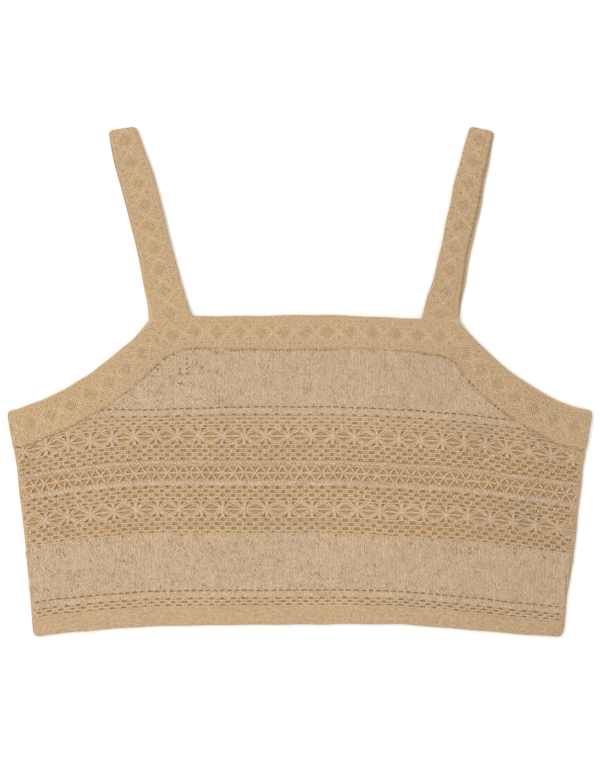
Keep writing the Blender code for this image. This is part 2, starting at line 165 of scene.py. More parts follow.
def row_line(y, count, inset=0.0):
    """Points of a row from the left to the right side seam."""
    ends = []
    for side in (0, 1):
        x = side_seams(y)[side]
        ends.append(side_seams(y - bow(x, y))[side])
    x = np.linspace(ends[0] + inset, ends[1] - inset, count)
    return np.stack([x, y - bow(x, y)], axis=1)


def smooth_rows(table, step):
    """A table's rows on a smooth curve through them, a step apart along its middle line,
    and how far each is from the middle of that line."""
    rows = np.array(table) * MM
    last = len(rows) - 1
    place = np.linspace(0, last, CURVE_STEPS * last + 1)
    first = np.minimum(place.astype(int), last - 1)
    u = (place - first)[:, None]
    a, b, c, d = (rows[np.clip(first + k, 0, last)] for k in (-1, 0, 1, 2))
    bend = (2 * a - 5 * b + 4 * c - d) * u**2 + (3 * b - a - 3 * c + d) * u**3
    fine = 0.5 * (2 * b + (c - a) * u + bend)
    middle = 0.5 * (fine[:, 0:2] + fine[:, 2:4])
    steps = np.linalg.norm(np.diff(middle, axis=0), axis=1)
    length = np.concatenate([[0.0], np.cumsum(steps)])
    even = np.linspace(0.0, length[-1], int(length[-1] / step) + 2)
    picked = np.stack([np.interp(even, length, values) for values in fine.T], axis=1)
    return picked, even - 0.5 * length[-1]


def seam_line(step=OUTLINE_STEP):
    """Line from left to right along which the trims are sewn to the panels."""
    left, neck, right = (smooth_rows(t, step)[0] for t in (LEFT_ARMHOLE, NECK, RIGHT_ARMHOLE))
    return np.concatenate([left[::-1], neck[1:-1], right])[:, 2:4]


SEAM = seam_line(1.0 * MM)


def seam_height(x):
    return np.interp(x, SEAM[:, 0], SEAM[:, 1])


def panel_outline(inset):
    """Outline of a panel, anticlockwise from the left end of the hem seam."""
    hem = row_line(HEM_SEAM, OUTLINE_POINTS, inset)
    hem[:, 1] += SEAM_GAP
    left, right = [], []
    for y in np.arange(hem[-1][1], SEAM[0][1], OUTLINE_STEP):
        if hem[0][1] + max(inset, MM) < y < SEAM[0][1] - max(inset, MM):
            left.append((side_seams(y)[0] + inset, y))
        if hem[-1][1] + max(inset, MM) < y < SEAM[-1][1] - max(inset, MM):
            right.append((side_seams(y)[1] - inset, y))
    inside = seam_line()
    kept = (inside[:, 0] > SEAM[0][0] + inset) & (inside[:, 0] < SEAM[-1][0] - inset)
    ends = np.array([SEAM[0][0] + inset, SEAM[-1][0] - inset])
    x = np.concatenate([ends[:1], inside[kept, 0], ends[1:]])
    top = np.stack([x, seam_height(x) - SEAM_GAP], axis=1)
    loop = [tuple(p) for p in hem] + right + [tuple(p) for p in top[::-1]] + left[::-1]
    return [(float(x), float(y)) for x, y in loop]


def inside_loops(places, starts, ends):
    """Which places are inside closed loops of sides, by the crossings to their right."""
    fall = ends[:, 1] - starts[:, 1]
    slope = (ends[:, 0] - starts[:, 0]) / np.where(fall == 0.0, 1.0, fall)
    found = []
    for block in np.array_split(places, len(places) // 400 + 1):
        x, y = block[:, 0, None], block[:, 1, None]
        spans = (starts[:, 1] > y) != (ends[:, 1] > y)
        right = x < starts[:, 0] + slope * (y - starts[:, 1])
        found.append((spans & right).sum(axis=1) % 2 == 1)
    return np.concatenate(found)


def settle(points):
    """Small unevenness of a top laid out by hand, the same for every piece."""
    x, y = points[:, 0] / MM, points[:, 1] / MM
    for axis, sway, over_x, over_y, start in LAID_WAVES:
        points[:, axis] += sway * MM * np.sin(x / over_x + y / over_y + start)
    return points


def in_scene(name, data):
    """An object of the scene."""
    made = bpy.data.objects.new(name, data)
    bpy.context.scene.collection.objects.link(made)
    return made


def new_piece(name, points, faces, cloth):
    """A mesh object with smooth faces that point out."""
    mesh = bpy.data.meshes.new(name)
    mesh.from_pydata([tuple(p) for p in points], [], faces)
    bm = bmesh.new()
    bm.from_mesh(mesh)
    bmesh.ops.recalc_face_normals(bm, faces=bm.faces)
    bm.to_mesh(mesh)
    bm.free()
    mesh.shade_smooth()
    mesh.set_sharp_from_angle(angle=SHARP_EDGE)
    mesh.materials.append(cloth)
    return in_scene(name, mesh)


def wall(name, loops, bottom, top, cloth):
    """A thin cloth inside its outline, the first loop, and around its holes. bottom and top
    give the heights of its two skins at places."""
    points, edges = [], []
    for loop in loops:
        first = len(points)
        points += [Vector(point) for point in loop]
        edges += [(first + i, first + (i + 1) % len(loop)) for i in range(len(loop))]
    result = delaunay_2d_cdt(points, edges, [], 0, 1e-7, True)
    placed, triangles = np.array(result[0]), np.array(result[2])
    sides = np.array(points)[np.array(edges)]
    kept = triangles[inside_loops(placed[triangles].mean(axis=1), sides[:, 0], sides[:, 1])]
    place_of = {source: i for i, found in enumerate(result[3]) for source in found}
    count = len(placed)
    upper = np.column_stack([placed, top(placed)])
    lower = np.column_stack([placed, bottom(placed)])
    faces = [tuple(t) for t in kept.tolist()]
    faces += [(a + count, c + count, b + count) for a, b, c in faces]
    for a, b in edges:
        a, b = place_of[a], place_of[b]
        faces.append((a, b, b + count, a + count))
    return new_piece(name, settle(np.concatenate([upper, lower])), faces, cloth)


class Measure:
    """A value on its way through a node tree. The signs of arithmetic make math nodes of it."""

    def __init__(self, socket):
        self.socket = socket

    def through(self, operation, *others):
        """The output of a math node that starts from this value."""
        return output_of(self.socket.id_data, "ShaderNodeMath", enumerate((self, *others)),
                         operation=operation)

    def __add__(self, other):
        return self.through("ADD", other)

    def __sub__(self, other):
        return self.through("SUBTRACT", other)

    def __rsub__(self, other):
        return self * -1.0 + other

    def __mul__(self, other):
        return self.through("MULTIPLY", other)

    def __truediv__(self, other):
        return self.through("DIVIDE", other)

    def __abs__(self):
        return self.through("ABSOLUTE")


def feed(made, inputs):
    """Plain values, or measures from other nodes, into the inputs of a node."""
    for key, value in inputs.items():
        if isinstance(value, Measure):
            made.id_data.links.new(value.socket, made.inputs[key])
        else:
            made.inputs[key].default_value = value


def node(tree, kind, inputs=(), **settings):
    """A node with its settings and what feeds it."""
    made = tree.nodes.new(kind)
    for key, value in settings.items():
        setattr(made, key, value)
    feed(made, dict(inputs))
    return made


def output_of(tree, kind, inputs=(), output=0, **settings):
    """One output of a new node."""
    return Measure(node(tree, kind, inputs, **settings).outputs[output])


def ramp(tree, value, low, high, first=0.0, last=1.0, kind="LINEAR"):
    """From the first to the last value while another goes from low to high."""
    return output_of(tree, "ShaderNodeMapRange", {
        "Value": value, "From Min": low, "From Max": high, "To Min": first, "To Max": last},
        interpolation_type=kind)


def noise(tree, scale, detail, place=None, output="Fac", **more):
    """Soft noise over a place, or without one over where the piece lies."""
    inputs = {"Scale": scale, "Detail": detail, **more}
    if place is not None:
        inputs["Vector"] = place
    return output_of(tree, "ShaderNodeTexNoise", inputs, output)


def apart(tree, place):
    """The x and the y of a place."""
    split = node(tree, "ShaderNodeSeparateXYZ", {0: place}).outputs
    return Measure(split[0]), Measure(split[1])


def node_group(kind, name, inputs, outputs):
    """An empty node group, its named inputs as measures, and its end node. An input is a
    name, a kind of socket and, where it has one, a usual value."""
    group = bpy.data.node_groups.new(name, kind)
    for label, socket, *usual in inputs:
        made = group.interface.new_socket(label, in_out="INPUT", socket_type="NodeSocket" + socket)
        if usual:
            made.default_value = usual[0]
    for label, socket in outputs:
        group.interface.new_socket(label, in_out="OUTPUT", socket_type="NodeSocket" + socket)
    given = group.nodes.new("NodeGroupInput").outputs
    given = {label: Measure(given[label]) for label, *_ in inputs}
    return group, given, group.nodes.new("NodeGroupOutput")


FIBRE_SCALE, PATCH_SCALE = 650.0, 28.0  # of the noise, for each metre
# Painted shade: every cloth grows a little darker towards the right side and towards the top.
PAINTED_SIDE_SHADE = (35.0 * MM, 165.0 * MM, 1.0, 0.925)  # from x to x, brightness at each
PAINTED_TOP_SHADE = (-60.0 * MM, 10.0 * MM, 0.0, -0.022)  # from y to y, change of brightness at each
MIDDLE_SHADE = 0.9  # shade of a middling stitch in a middling patch
SHADE_SHARE = 0.8  # of the stitch in it, against the patch


def mottling_and_shade_group():
    """Uneven dye and painted shade: a colour that drifts in soft patches and from fibre to fibre, and
    painted shade that makes it a little darker towards the right side and the top."""
    group, given, out = node_group("ShaderNodeTree", "cotton_mottling", (
        ("Colour", "Color", (0.5, 0.4, 0.3, 1.0)),
        ("Shade", "Float", 0.5),
        ("Variation", "Float", 0.1),
        ("Grain", "Float", 0.2),
    ), (("Colour", "Color"), ("Fibres", "Float")))
    place = output_of(group, "ShaderNodeTexCoord", output="Object")
    patches = noise(group, PATCH_SCALE, detail=3.0, place=place)
    fibres = noise(group, FIBRE_SCALE, detail=3.0, place=place)
    level = (given["Shade"] * SHADE_SHARE + patches - MIDDLE_SHADE) * given["Variation"]
    grain = (fibres - 0.5) * given["Grain"]
    x, y = apart(group, place)
    painted_falloff = ramp(group, x, *PAINTED_SIDE_SHADE) + ramp(group, y, *PAINTED_TOP_SHADE)
    tint = output_of(group, "ShaderNodeHueSaturation", {
        "Color": given["Colour"], "Value": level + grain + painted_falloff})
    feed(out, {"Colour": tint, "Fibres": fibres})
    return group


TURN = 2 * math.pi
LOOP_SLANT = 1.4  # courses that a leg climbs from the middle of its wale to the edge
GAP_LEVEL = 0.75  # height under which a place is a gap


def jersey_group():
    """Fine stockinette: rows of small V loops, as a height and a mask of the gaps."""
    group, given, out = node_group("ShaderNodeTree", "fine_jersey", (
        ("Place", "Vector"),
        ("Wale", "Float", 1.3 * MM),
        ("Course", "Float", 0.95 * MM),
    ), (("Height", "Float"), ("Gaps", "Float")))
    x, y = apart(group, given["Place"])
    beside = abs((x / given["Wale"]).through("FRACT") - 0.5)
    loops = ((y / given["Course"] + beside * LOOP_SLANT) * TURN).through("COSINE")
    legs = (beside * TURN).through("SINE")
    height = loops * 0.3 + 0.3 + legs * 0.5
    gaps = (GAP_LEVEL - height).through("SMOOTH_MIN", 1.0, 0.1).through("MAXIMUM", 0.0)
    feed(out, {"Height": height, "Gaps": gaps})
    return group


MOTTLING_AND_SHADE = mottling_and_shade_group()
JERSEY = jersey_group()


def new_cloth(name, roughness, sheen):
    """A cloth material's tree and its shader."""
    made = bpy.data.materials.new(name)
    made.use_nodes = True
    shader = made.node_tree.nodes["Principled BSDF"]
    feed(shader, {"Roughness": roughness, "Sheen Weight": sheen, "Sheen Roughness": 0.5,
                  "Specular IOR Level": 0.25})
    return made, made.node_tree, shader


def effect(tree, group, inputs):
    """What a shader node group puts out in a material, by name."""
    made = node(tree, "ShaderNodeGroup", inputs, node_tree=group)
    return {socket.name: Measure(socket) for socket in made.outputs}


def mottled_and_shaded(tree, colour, variation, grain, shade=0.5):
    """A colour with its uneven dye and its painted side and top shade, and the fibres."""
    made = effect(tree, MOTTLING_AND_SHADE, {
        "Colour": (*colour, 1.0), "Shade": shade, "Variation": variation, "Grain": grain})
    return made["Colour"], made["Fibres"]


def finish_cloth(tree, shader, colour, height, depth):
    """Colour and bump into the shader."""
    bump = output_of(tree, "ShaderNodeBump", {
        "Height": height, "Distance": depth, "Strength": 1.0}, "Normal")
    feed(shader, {"Base Color": colour, "Normal": bump})


# Painted shade grows warmer as it grows darker, in place of light bounced between the fibres.
SHADE_WARMTH = 0.9  # how much more colour a dark place has, against how much darker it is


def with_painted_shade(tree, colour, mask, share):
    """A colour with painted shade where the mask is 1: darker by a share, and a little warmer as light
    bounced in the cotton.
    """
    return output_of(tree, "ShaderNodeHueSaturation", {
        "Color": colour, "Value": mask * -share + 1.0,
        "Saturation": mask * (SHADE_WARMTH * share) + 1.0})


def jersey_cloth(name, colour, wale, course, depth):
    """Plain fine jersey on Object coordinates, with painted shade in the gaps between its loops."""
    made, tree, shader = new_cloth(name, roughness=0.92, sheen=0.12)
    place = output_of(tree, "ShaderNodeTexCoord", output="Object")
    knit = effect(tree, JERSEY, {"Place": place, "Wale": wale, "Course": course})
    tint, fibres = mottled_and_shaded(tree, colour, variation=0.12, grain=0.3)
    # Painted shade in the gaps between the loops.
    tint = with_painted_shade(tree, tint, knit["Gaps"], share=0.3)
    finish_cloth(tree, shader, tint, fibres * 0.25 + knit["Height"], depth)
    return made


def level(height):
    """A skin at one height."""
    return lambda places: np.full(len(places), height)


COTTON = (0.60, 0.44, 0.275)
back_jersey = jersey_cloth("back_jersey", COTTON, wale=2.6 * MM, course=1.75 * MM,
                           depth=0.45 * MM)
back_cut = panel_outline(0.0)
back = wall("back_panel_cloth", [back_cut], level(BACK_BOTTOM), level(BACK_TOP), back_jersey)
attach(back, "root")
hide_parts("back_panel")


# Front lining. Fine golden jersey, cut a little smaller than the front and caught in the
# seams of the trims and the hem. It shows through every hole of the crochet.
LINING_INSET = 3.0 * MM
LINING_BOTTOM, LINING_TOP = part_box("front_lining")[0].z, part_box("front_lining")[1].z
LINING_COLOUR = (0.62, 0.385, 0.18)

lining_jersey = jersey_cloth("lining_jersey", LINING_COLOUR, wale=1.2 * MM, course=0.9 * MM,
                             depth=0.25 * MM)
lining_cut = panel_outline(LINING_INSET)
lining = wall("front_lining_cloth", [lining_cut], level(LINING_BOTTOM), level(LINING_TOP),
              lining_jersey)
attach(lining, "root")
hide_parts("front_lining")


# Ground of the crochet front. A thin shell of the same beige cotton, made a little warmer as painted
# shade for the crevices where it shows between the yarns, with every eyelet, star gap and lattice
# triangle cut through. The raised yarns of the stitches lie on it.
ROLL_DROP = 1.3 * MM
ROLL_WIDTH = 5.0 * MM
GROUND_THICKNESS = 0.45 * MM
GROUND_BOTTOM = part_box("front_crochet_panel")[0].z + ROLL_DROP + 0.15 * MM
GROUND_TOP = GROUND_BOTTOM + GROUND_THICKNESS
STAR_PITCH = 15.6 * MM
EYELET_PITCH = 0.5 * STAR_PITCH
WALE = STAR_PITCH / 6
STAR_ROWS = (-37.8 * MM, -88.9 * MM)
STAR_GAP_HEIGHT = 4.1 * MM
LATTICE_ROW = -63.5 * MM
LATTICE_HEIGHT = 5.3 * MM
LATTICE_YARN = 1.75 * MM
STAR_YARNS = (1.55 * MM, 1.9 * MM)  # beside the gaps above and under the row
RAY_SLIT = ((1.4, 3.5), (2.2, 3.6), (4.2, 5.4), (3.4, 5.9), (1.6, 5.4))  # from a star's middle (mm)
HOLE_MARGIN = 1.6 * MM
HOLE_SIDE_MARGIN = 2.4 * MM
EYELET_ROWS = (  # y in the middle, shift in pitches, pitch, width, height (mm but the shift)
    (-17.1, 0.0, 5.2, 3.0, 0.7),
    (-22.4, 0.0, 7.8, 2.6, 1.04),
    (-25.4, 0.5, 7.8, 2.6, 1.04),
    (-28.0, 0.0, 7.8, 2.6, 1.16),
    (-30.6, 0.5, 7.8, 2.6, 1.04),
    (-45.2, 0.0, 7.8, 3.0, 2.2),
    (-48.2, 0.5, 7.8, 2.8, 1.98),
    (-50.9, 0.0, 7.8, 2.8, 1.98),
    (-53.7, 0.5, 7.8, 3.0, 2.31),
    (-73.5, 0.0, 7.8, 3.0, 2.2),
    (-76.3, 0.5, 7.8, 2.8, 1.76),
    (-79.2, 0.0, 7.8, 3.0, 2.09),
    (-81.9, 0.5, 7.8, 2.8, 1.54),
    (-96.3, 0.0, 7.8, 3.0, 2.2),
    (-99.4, 0.5, 7.8, 3.0, 2.09),
    (-102.3, 0.0, 7.8, 3.1, 2.2),
    (-104.9, 0.5, 7.8, 2.3, 1.1),
    (-145.6, 0.5, 5.2, 3.2, 0.7),
    (-151.0, 0.0, 7.8, 3.5, 1.1),
    (-153.3, 0.5, 7.8, 3.7, 1.1),
    (-155.5, 0.0, 7.8, 3.7, 0.99),
)
LACE_PULL = (  # x, pull to the right in the upper and in the lower star row, drop (mm)
    (-175.0, 0.8, 1.7, 0.3),
    (-130.0, 2.0, 1.4, -0.2),
    (-87.0, 1.5, 0.4, 0.3),
    (-40.0, 0.2, 0.2, -0.2),
    (7.0, 0.4, -0.4, 0.4),
    (55.0, 0.9, -0.6, 0.0),
    (101.0, 0.3, -1.2, -0.6),
    (133.0, 0.7, -2.2, -0.9),
    (163.0, 1.0, -3.4, -0.1),
    (180.0, 1.0, -3.4, 0.6),
)
PULL_END = -151.0 * MM
THIN_SLIT = 1.3  # mm
SLIT_GAPE = (0.6, 1.05)  # least and most
GAPE_SPREAD = 0.12
GAPE_RANGE = (-0.25, 0.2)
OPENER = 0.42  # how much wider the holes of the lace gape towards the right side
LACE_END = -106.0  # mm
WIDEST, WIDEST_ACROSS = 1.27, 1.25  # of a hole, against its size in the table
HOLE_DRIFT = 0.12  # mm


def pulled(x, y):
    """x of a stitch in a row at height y, with the rows a little out of line with each other."""
    upper, lower = column(LACE_PULL, x, 1), column(LACE_PULL, x, 2)
    return x + np.interp(y, STAR_ROWS[::-1], (1.0, 0.0)) * (upper - lower) + lower


def fall(x, y):
    """How far a row of the front has come down at x, for a row at height y in the middle."""
    return bow(x, y) + column(LACE_PULL, x, 3) * np.interp(y, (PULL_END, STAR_ROWS[1]), (0.0, 1.0))


def laid(x, row, rise=0.0):
    """Where a place of an even row comes to lie, at a rise above the row."""
    return pulled(x, row), row + rise - fall(x, row)


def side_roll(places):
    """Drop of the front towards the nearest side seam."""
    left, right = side_seams(places[:, 1])
    inside = np.maximum(0.0, np.minimum(places[:, 0] - left, right - places[:, 0]))
    return ROLL_DROP * np.maximum(0.0, 1.0 - inside / ROLL_WIDTH) ** 2


def rolled(height):
    """A skin that rolls down at the sides."""
    return lambda places: height - side_roll(places)


def on_panel(x, y, beside=HOLE_SIDE_MARGIN, below=HOLE_MARGIN):
    """Whether points are well inside the front."""
    left, right = side_seams(y)
    across = np.minimum(x - left, right - x) > beside
    return across & (y < seam_height(x) - below)


def columns(pitch, shift=0.0):
    """Places of a repeat across the widest part of the front."""
    count = int(cad_high.x / pitch) + 1
    return (np.arange(-count, count + 1) + shift) * pitch


SIX_SIDES = ((-0.5, 0), (-0.27, -0.5), (0.27, -0.5), (0.5, 0), (0.27, 0.5), (-0.27, 0.5))


def eyelet(x, y, width, height):
    """A six-sided hole with pointed ends."""
    return [(x + a * width, y + b * height) for a, b in SIX_SIDES]


def eyelets():
    """Every eyelet and slit, row by row, a little uneven."""
    chance = np.random.default_rng(7)
    holes = []
    for y, shift, pitch, width, height in EYELET_ROWS:
        for x in columns(pitch * MM, shift):
            gape = OPENER * min(1.0, max(0.0, x / cad_high.x)) if y > LACE_END else 0.0
            gape += 1.0 + float(np.clip(chance.normal(0, GAPE_SPREAD), *GAPE_RANGE))
            gape = min(gape, WIDEST)
            if height < THIN_SLIT:
                gape *= chance.uniform(*SLIT_GAPE)
            here = y * MM - float(fall(x, y * MM))
            place = float(pulled(x, y * MM)) + chance.normal(0, HOLE_DRIFT) * MM
            across = width * MM * min(gape, WIDEST_ACROSS)
            holes.append(eyelet(place, here, across, height * MM * gape))
    return holes


def on_row(places, row):
    """Places of an even pattern, moved to where its row lies."""
    return [(float(pulled(x, row)), y - float(fall(x, row))) for x, y in places]


def gap_triangle(x, row, half, height, yarn):
    """The hole between three yarns: its base centred at x on the row, its point up or down
    by the height, less half a yarn along each side."""
    inner_radius = half * abs(height) / (half + math.hypot(half, height))
    middle = math.copysign(inner_radius, height)
    scale = 1.0 - 0.5 * yarn / inner_radius
    corners = ((-half, 0.0), (half, 0.0), (0.0, height))
    places = [(x + scale * dx, row + middle + scale * (dy - middle)) for dx, dy in corners]
    return on_row(places, row)


def large_gaps():
    """The lattice triangles and the gaps between the stars."""
    holes = []
    half = 0.5 * EYELET_PITCH
    for x in columns(EYELET_PITCH):
        for way in (LATTICE_HEIGHT, -LATTICE_HEIGHT):
            holes.append(gap_triangle(x + half, LATTICE_ROW, half, way, LATTICE_YARN))
            holes.append(gap_triangle(x, LATTICE_ROW + way, half, -way, LATTICE_YARN))
    for x in columns(STAR_PITCH):
        for row in STAR_ROWS:
            for way, yarn in zip((STAR_GAP_HEIGHT, -STAR_GAP_HEIGHT), STAR_YARNS):
                holes.append(gap_triangle(x, row, EYELET_PITCH, way, yarn))
    for x in columns(STAR_PITCH, 0.5):
        for side, way, row in product((-1, 1), (-1, 1), STAR_ROWS):
            slit = [(x + side * a * MM, row + way * b * MM) for a, b in RAY_SLIT]
            holes.append(on_row(slit, row))
    return holes


def on_the_front(holes):
    """The holes that lie well inside the front."""
    return [hole for hole in holes if all(on_panel(x, y) for x, y in hole)]


# Painted shade at the ends of every stitch, where it dives under the next one, and darker painted shade
# at the ends of a random few.
DIVE_SHADE = 0.18  # of every stitch at its ends, and more in the few that sit deep
RANDOM_END_SHADE = 0.28
RANDOM_END_SHARE = 0.07
PLY_LENGTH = 0.8 * MM


def yarn_cloth(name, colour, roughness, variation, grain=0.35):
    """Soft two-ply cotton yarn: each stitch a little lighter or darker, with painted shade where it
    dives under the next one, darker at the ends of a few random stitches, and with ply and fuzz."""
    made, tree, shader = new_cloth(name, roughness, sheen=0.15)
    shade, along, dive = (
        output_of(tree, "ShaderNodeAttribute", output="Fac", attribute_name=label)
        for label in ("shade", "along", "dive"))
    tint, fibres = mottled_and_shaded(tree, colour, variation, grain, shade)
    # Painted shade where the yarn dives under the next stitch.
    dive_shade_share = ramp(tree, shade, RANDOM_END_SHARE, 0.6 * RANDOM_END_SHARE, DIVE_SHADE, RANDOM_END_SHADE)
    tint = with_painted_shade(tree, tint, dive * dive_shade_share, share=1.0)
    ply = (along * (TURN / PLY_LENGTH)).through("SINE")
    finish_cloth(tree, shader, tint, ply * 0.3 + fibres, depth=0.12 * MM)
    return made


# The cotton's beige, more saturated as painted warm shade where the ground shows between the stitches.
GROUND_COLOUR_WITH_WARM_SHADE = (0.63, 0.435, 0.25)
ground_jersey = jersey_cloth("ground_crochet", GROUND_COLOUR_WITH_WARM_SHADE, wale=0.5 * WALE,
                             course=1.2 * MM, depth=0.3 * MM)
front_cut = panel_outline(0.0)
front = wall("front_crochet_ground", [front_cut] + on_the_front(eyelets() + large_gaps()),
             rolled(GROUND_BOTTOM), rolled(GROUND_TOP), ground_jersey)
front_pieces = []


# Knitted stitches of the front. Every V is one loop of beige yarn. They stand in ribs in the
# two ribbed bands, and lie plain in the strips between the lace rows.
RIB_BANDS = ((40.0, -15.95), (-106.2, -144.45))  # top and bottom (mm)
PLAIN_STRIPS = ((-18.2, -21.3), (-55.1, -57.7), (-69.2, -72.3), (-146.75, -149.9))
COURSE = 1.75 * MM
STITCH_LIFT = 0.38 * MM
RIB_LIFT = 0.16 * MM
STITCH_YARN = 0.8 * MM
STITCH_ARCH = 0.42 * MM
STITCH_SLOPE = 1.3  # courses that each leg of a V climbs
STITCH_FLATNESS = 0.75
STITCH_MARGIN = 0.4 * MM
STITCH_SIDE_MARGIN = 1.25 * MM
SINK_WIDTH, SINK = 6.0 * MM, 1.5 * MM  # of the stitches, into the front along its side seams
LINE_SIDE_MARGIN = 0.8 * MM
STITCH_DRIFT = 0.15  # of a wale or a course
DROPPED = 0.5  # where the ribs are loosest
LOOSE_TOP, LOOSE_COURSES = 0.3, 2.0  # how loose the top of a band is, and how far down
LOOSE_X, LOOSE_Y = -82.0 * MM, 14.0 * MM
LOOSE_WIDE, LOOSE_HIGH = 30.0 * MM, 8.0 * MM


def geometry_tree(name, inputs):
    """An empty Geometry Nodes tree, its named inputs as measures, and its end node."""
    mesh = ("Geometry", "Geometry")
    return node_group("GeometryNodeTree", name, (mesh, *inputs), (mesh,))


def random_value(tree, low, high, seed):
    return output_of(tree, "FunctionNodeRandomValue", {
        2: low, 3: high, "Seed": seed}, 1, data_type="FLOAT")


def stored(tree, geometry, name, value, domain="POINT"):
    """The geometry with a named value on it."""
    return output_of(tree, "GeometryNodeStoreNamedAttribute", {
        "Geometry": geometry, "Name": name, "Value": value}, data_type="FLOAT", domain=domain)


def vector(tree, x, y, z):
    return output_of(tree, "ShaderNodeCombineXYZ", {0: x, 1: y, 2: z})


def straight_yarn(tree):
    """A line of five points to bend into a stitch, and the share of its length at each."""
    line = output_of(tree, "GeometryNodeCurvePrimitiveLine", {"End": (1.0, 0.0, 0.0)})
    line = output_of(tree, "GeometryNodeResampleCurve", {"Curve": line, "Count": 5})
    return line, output_of(tree, "GeometryNodeSplineParameter", output="Factor")


def moved(tree, geometry, way, input_name="Position"):
    """The geometry with its points at a position, or moved by an offset."""
    return output_of(tree, "GeometryNodeSetPosition", {"Geometry": geometry, input_name: way})


def yarn_tube(tree, curve, radius, swell, sides):
    """A yarn round a curve, with closed ends and its length stored along it."""
    length = output_of(tree, "GeometryNodeSplineParameter", output="Length")
    ring = output_of(tree, "GeometryNodeCurvePrimitiveCircle", {
        "Resolution": sides, "Radius": radius}, "Curve")
    return output_of(tree, "GeometryNodeCurveToMesh", {
        "Curve": stored(tree, curve, "along", length), "Profile Curve": ring, "Scale": swell,
        "Fill Caps": True})


def finish_tree(tree, out, geometry, cloth):
    """Real geometry in its cloth, out of the tree."""
    real = output_of(tree, "GeometryNodeRealizeInstances", {"Geometry": geometry})
    done = output_of(tree, "GeometryNodeSetMaterial", {"Geometry": real, "Material": cloth})
    feed(out, {"Geometry": done})


def sow(tree, out, points, stitch, turn, size, seed, cloth):
    """A stitch on every point, each in its own shade."""
    placed = output_of(tree, "GeometryNodeInstanceOnPoints", {
        "Points": points, "Instance": stitch, "Rotation": vector(tree, 0.0, 0.0, turn),
        "Scale": size})
    shade = random_value(tree, 0.0, 1.0, seed)
    finish_tree(tree, out, stored(tree, placed, "shade", shade, "INSTANCE"), cloth)


def stitches_tree():
    """One V of yarn on every point, each a little uneven in turn, size and shade."""
    tree, given, out = geometry_tree("v_stitches", (
        ("Width", "Float"), ("Height", "Float"), ("Yarn radius", "Float"), ("Arch", "Float"),
        ("Unevenness", "Float"), ("Seed", "Int"), ("Yarn", "Material")))
    line, along = straight_yarn(tree)
    beside = along - 0.5
    fold = abs(beside * 2.0)
    hump = (fold * math.pi).through("SINE")
    ridge = (fold * (0.5 * math.pi)).through("COSINE")
    place = vector(tree, beside * given["Width"],
                   (fold - 0.5) * STITCH_SLOPE * given["Height"],
                   (hump * 0.3 + ridge) * given["Arch"])
    bent = stored(tree, moved(tree, line, place), "dive", fold.through("POWER", 2.5))
    loop = yarn_tube(tree, bent, given["Yarn radius"], hump * 0.15 + 0.85, sides=4)
    lean, seed = given["Unevenness"], given["Seed"]
    turn = random_value(tree, lean * -1.0, lean, seed)
    size = random_value(tree, 1.0 - lean, lean + 1.0, seed + 1.0)
    sow(tree, out, given["Geometry"], loop, turn, vector(tree, size, size, STITCH_FLATNESS),
        seed + 2.0, given["Yarn"])
    return tree


def grown(name, points, edges, tree, **sizes):
    """The finished mesh that a tree makes from points and edges. A size's name has _ where
    the tree's input has a space."""
    mesh = bpy.data.meshes.new(name)
    mesh.from_pydata([tuple(p) for p in points], edges, [])
    piece = in_scene(name, mesh)
    maker = piece.modifiers.new("maker", "NODES")
    maker.node_group = tree
    for socket in tree.interface.items_tree:
        label = socket.name.replace(" ", "_").lower()
        if socket.in_out == "INPUT" and label in sizes:
            maker[socket.identifier] = sizes[label]
    seen = piece.evaluated_get(bpy.context.evaluated_depsgraph_get())
    made = bpy.data.meshes.new_from_object(seen)
    piece.modifiers.remove(maker)
    piece.data = made
    bpy.data.meshes.remove(mesh)
    return piece


def on_ground(x, y, lift):
    """Points on the front at a lift above the ground, rolled and settled as it is."""
    places = np.stack([x, y], axis=1)
    z = GROUND_TOP + lift - side_roll(places)
    return settle(np.column_stack([places, z]))


def stitch_places(top, bottom, ribbed):
    """Places of the V stitches of a band. In the sunk wales of a ribbed one some stitches near
    its top and its loose corner are dropped, which leaves small slits between the ribs."""
    courses = max(1, round((top - bottom) / COURSE))
    step = (top - bottom) / courses
    wales = columns(WALE, 0.5)
    n, i = np.meshgrid(np.arange(len(wales)), np.arange(courses))
    sunk = n % 2 == 1
    chance, off, out = np.random.default_rng(3).random((3, *n.shape))
    x = wales[n] + WALE * STITCH_DRIFT * (off - 0.5)
    y = top - (i + 0.5 + STITCH_DRIFT * (out - 0.5)) * step
    loose = np.exp(-((x - LOOSE_X) / LOOSE_WIDE) ** 2 - ((y - LOOSE_Y) / LOOSE_HIGH) ** 2)
    loose = np.maximum(loose, LOOSE_TOP * np.exp(-i / LOOSE_COURSES))
    slit = sunk & (i % 2 == 0) & (chance < DROPPED * loose) & ribbed
    x, down = laid(x, y)
    kept = on_panel(x, down, STITCH_SIDE_MARGIN, STITCH_MARGIN) & ~slit
    lift = np.where(sunk, 0.0, RIB_LIFT) if ribbed else np.full(n.shape, 0.5 * RIB_LIFT)
    left, right = side_seams(down)
    near_side = np.clip(1.0 - np.minimum(x - left, right - x) / SINK_WIDTH, 0.0, 1.0)
    lift = lift - SINK * near_side**2
    return x[kept], down[kept], STITCH_LIFT + lift[kept]


YARN_COLOUR = (0.6, 0.449, 0.298)
knitted_yarn = yarn_cloth("knitted_yarn_beige", YARN_COLOUR, roughness=0.9, variation=0.035,
                          grain=0.9)
STITCHES = stitches_tree()
KNITTED = {"upper_rib_stitches": RIB_BANDS[:1], "lower_rib_stitches": RIB_BANDS[1:],
           "plain_strip_stitches": PLAIN_STRIPS}
for name, bands in KNITTED.items():
    fields = [stitch_places(t * MM, b * MM, "rib" in name) for t, b in bands]
    x, y, lift = (np.concatenate(values) for values in zip(*fields))
    piece = grown(name, on_ground(x, y, lift), [], STITCHES, width=0.98 * WALE, height=COURSE,
                  yarn_radius=STITCH_YARN, arch=STITCH_ARCH, unevenness=0.22, seed=11,
                  yarn=knitted_yarn)
    front_pieces.append(piece)


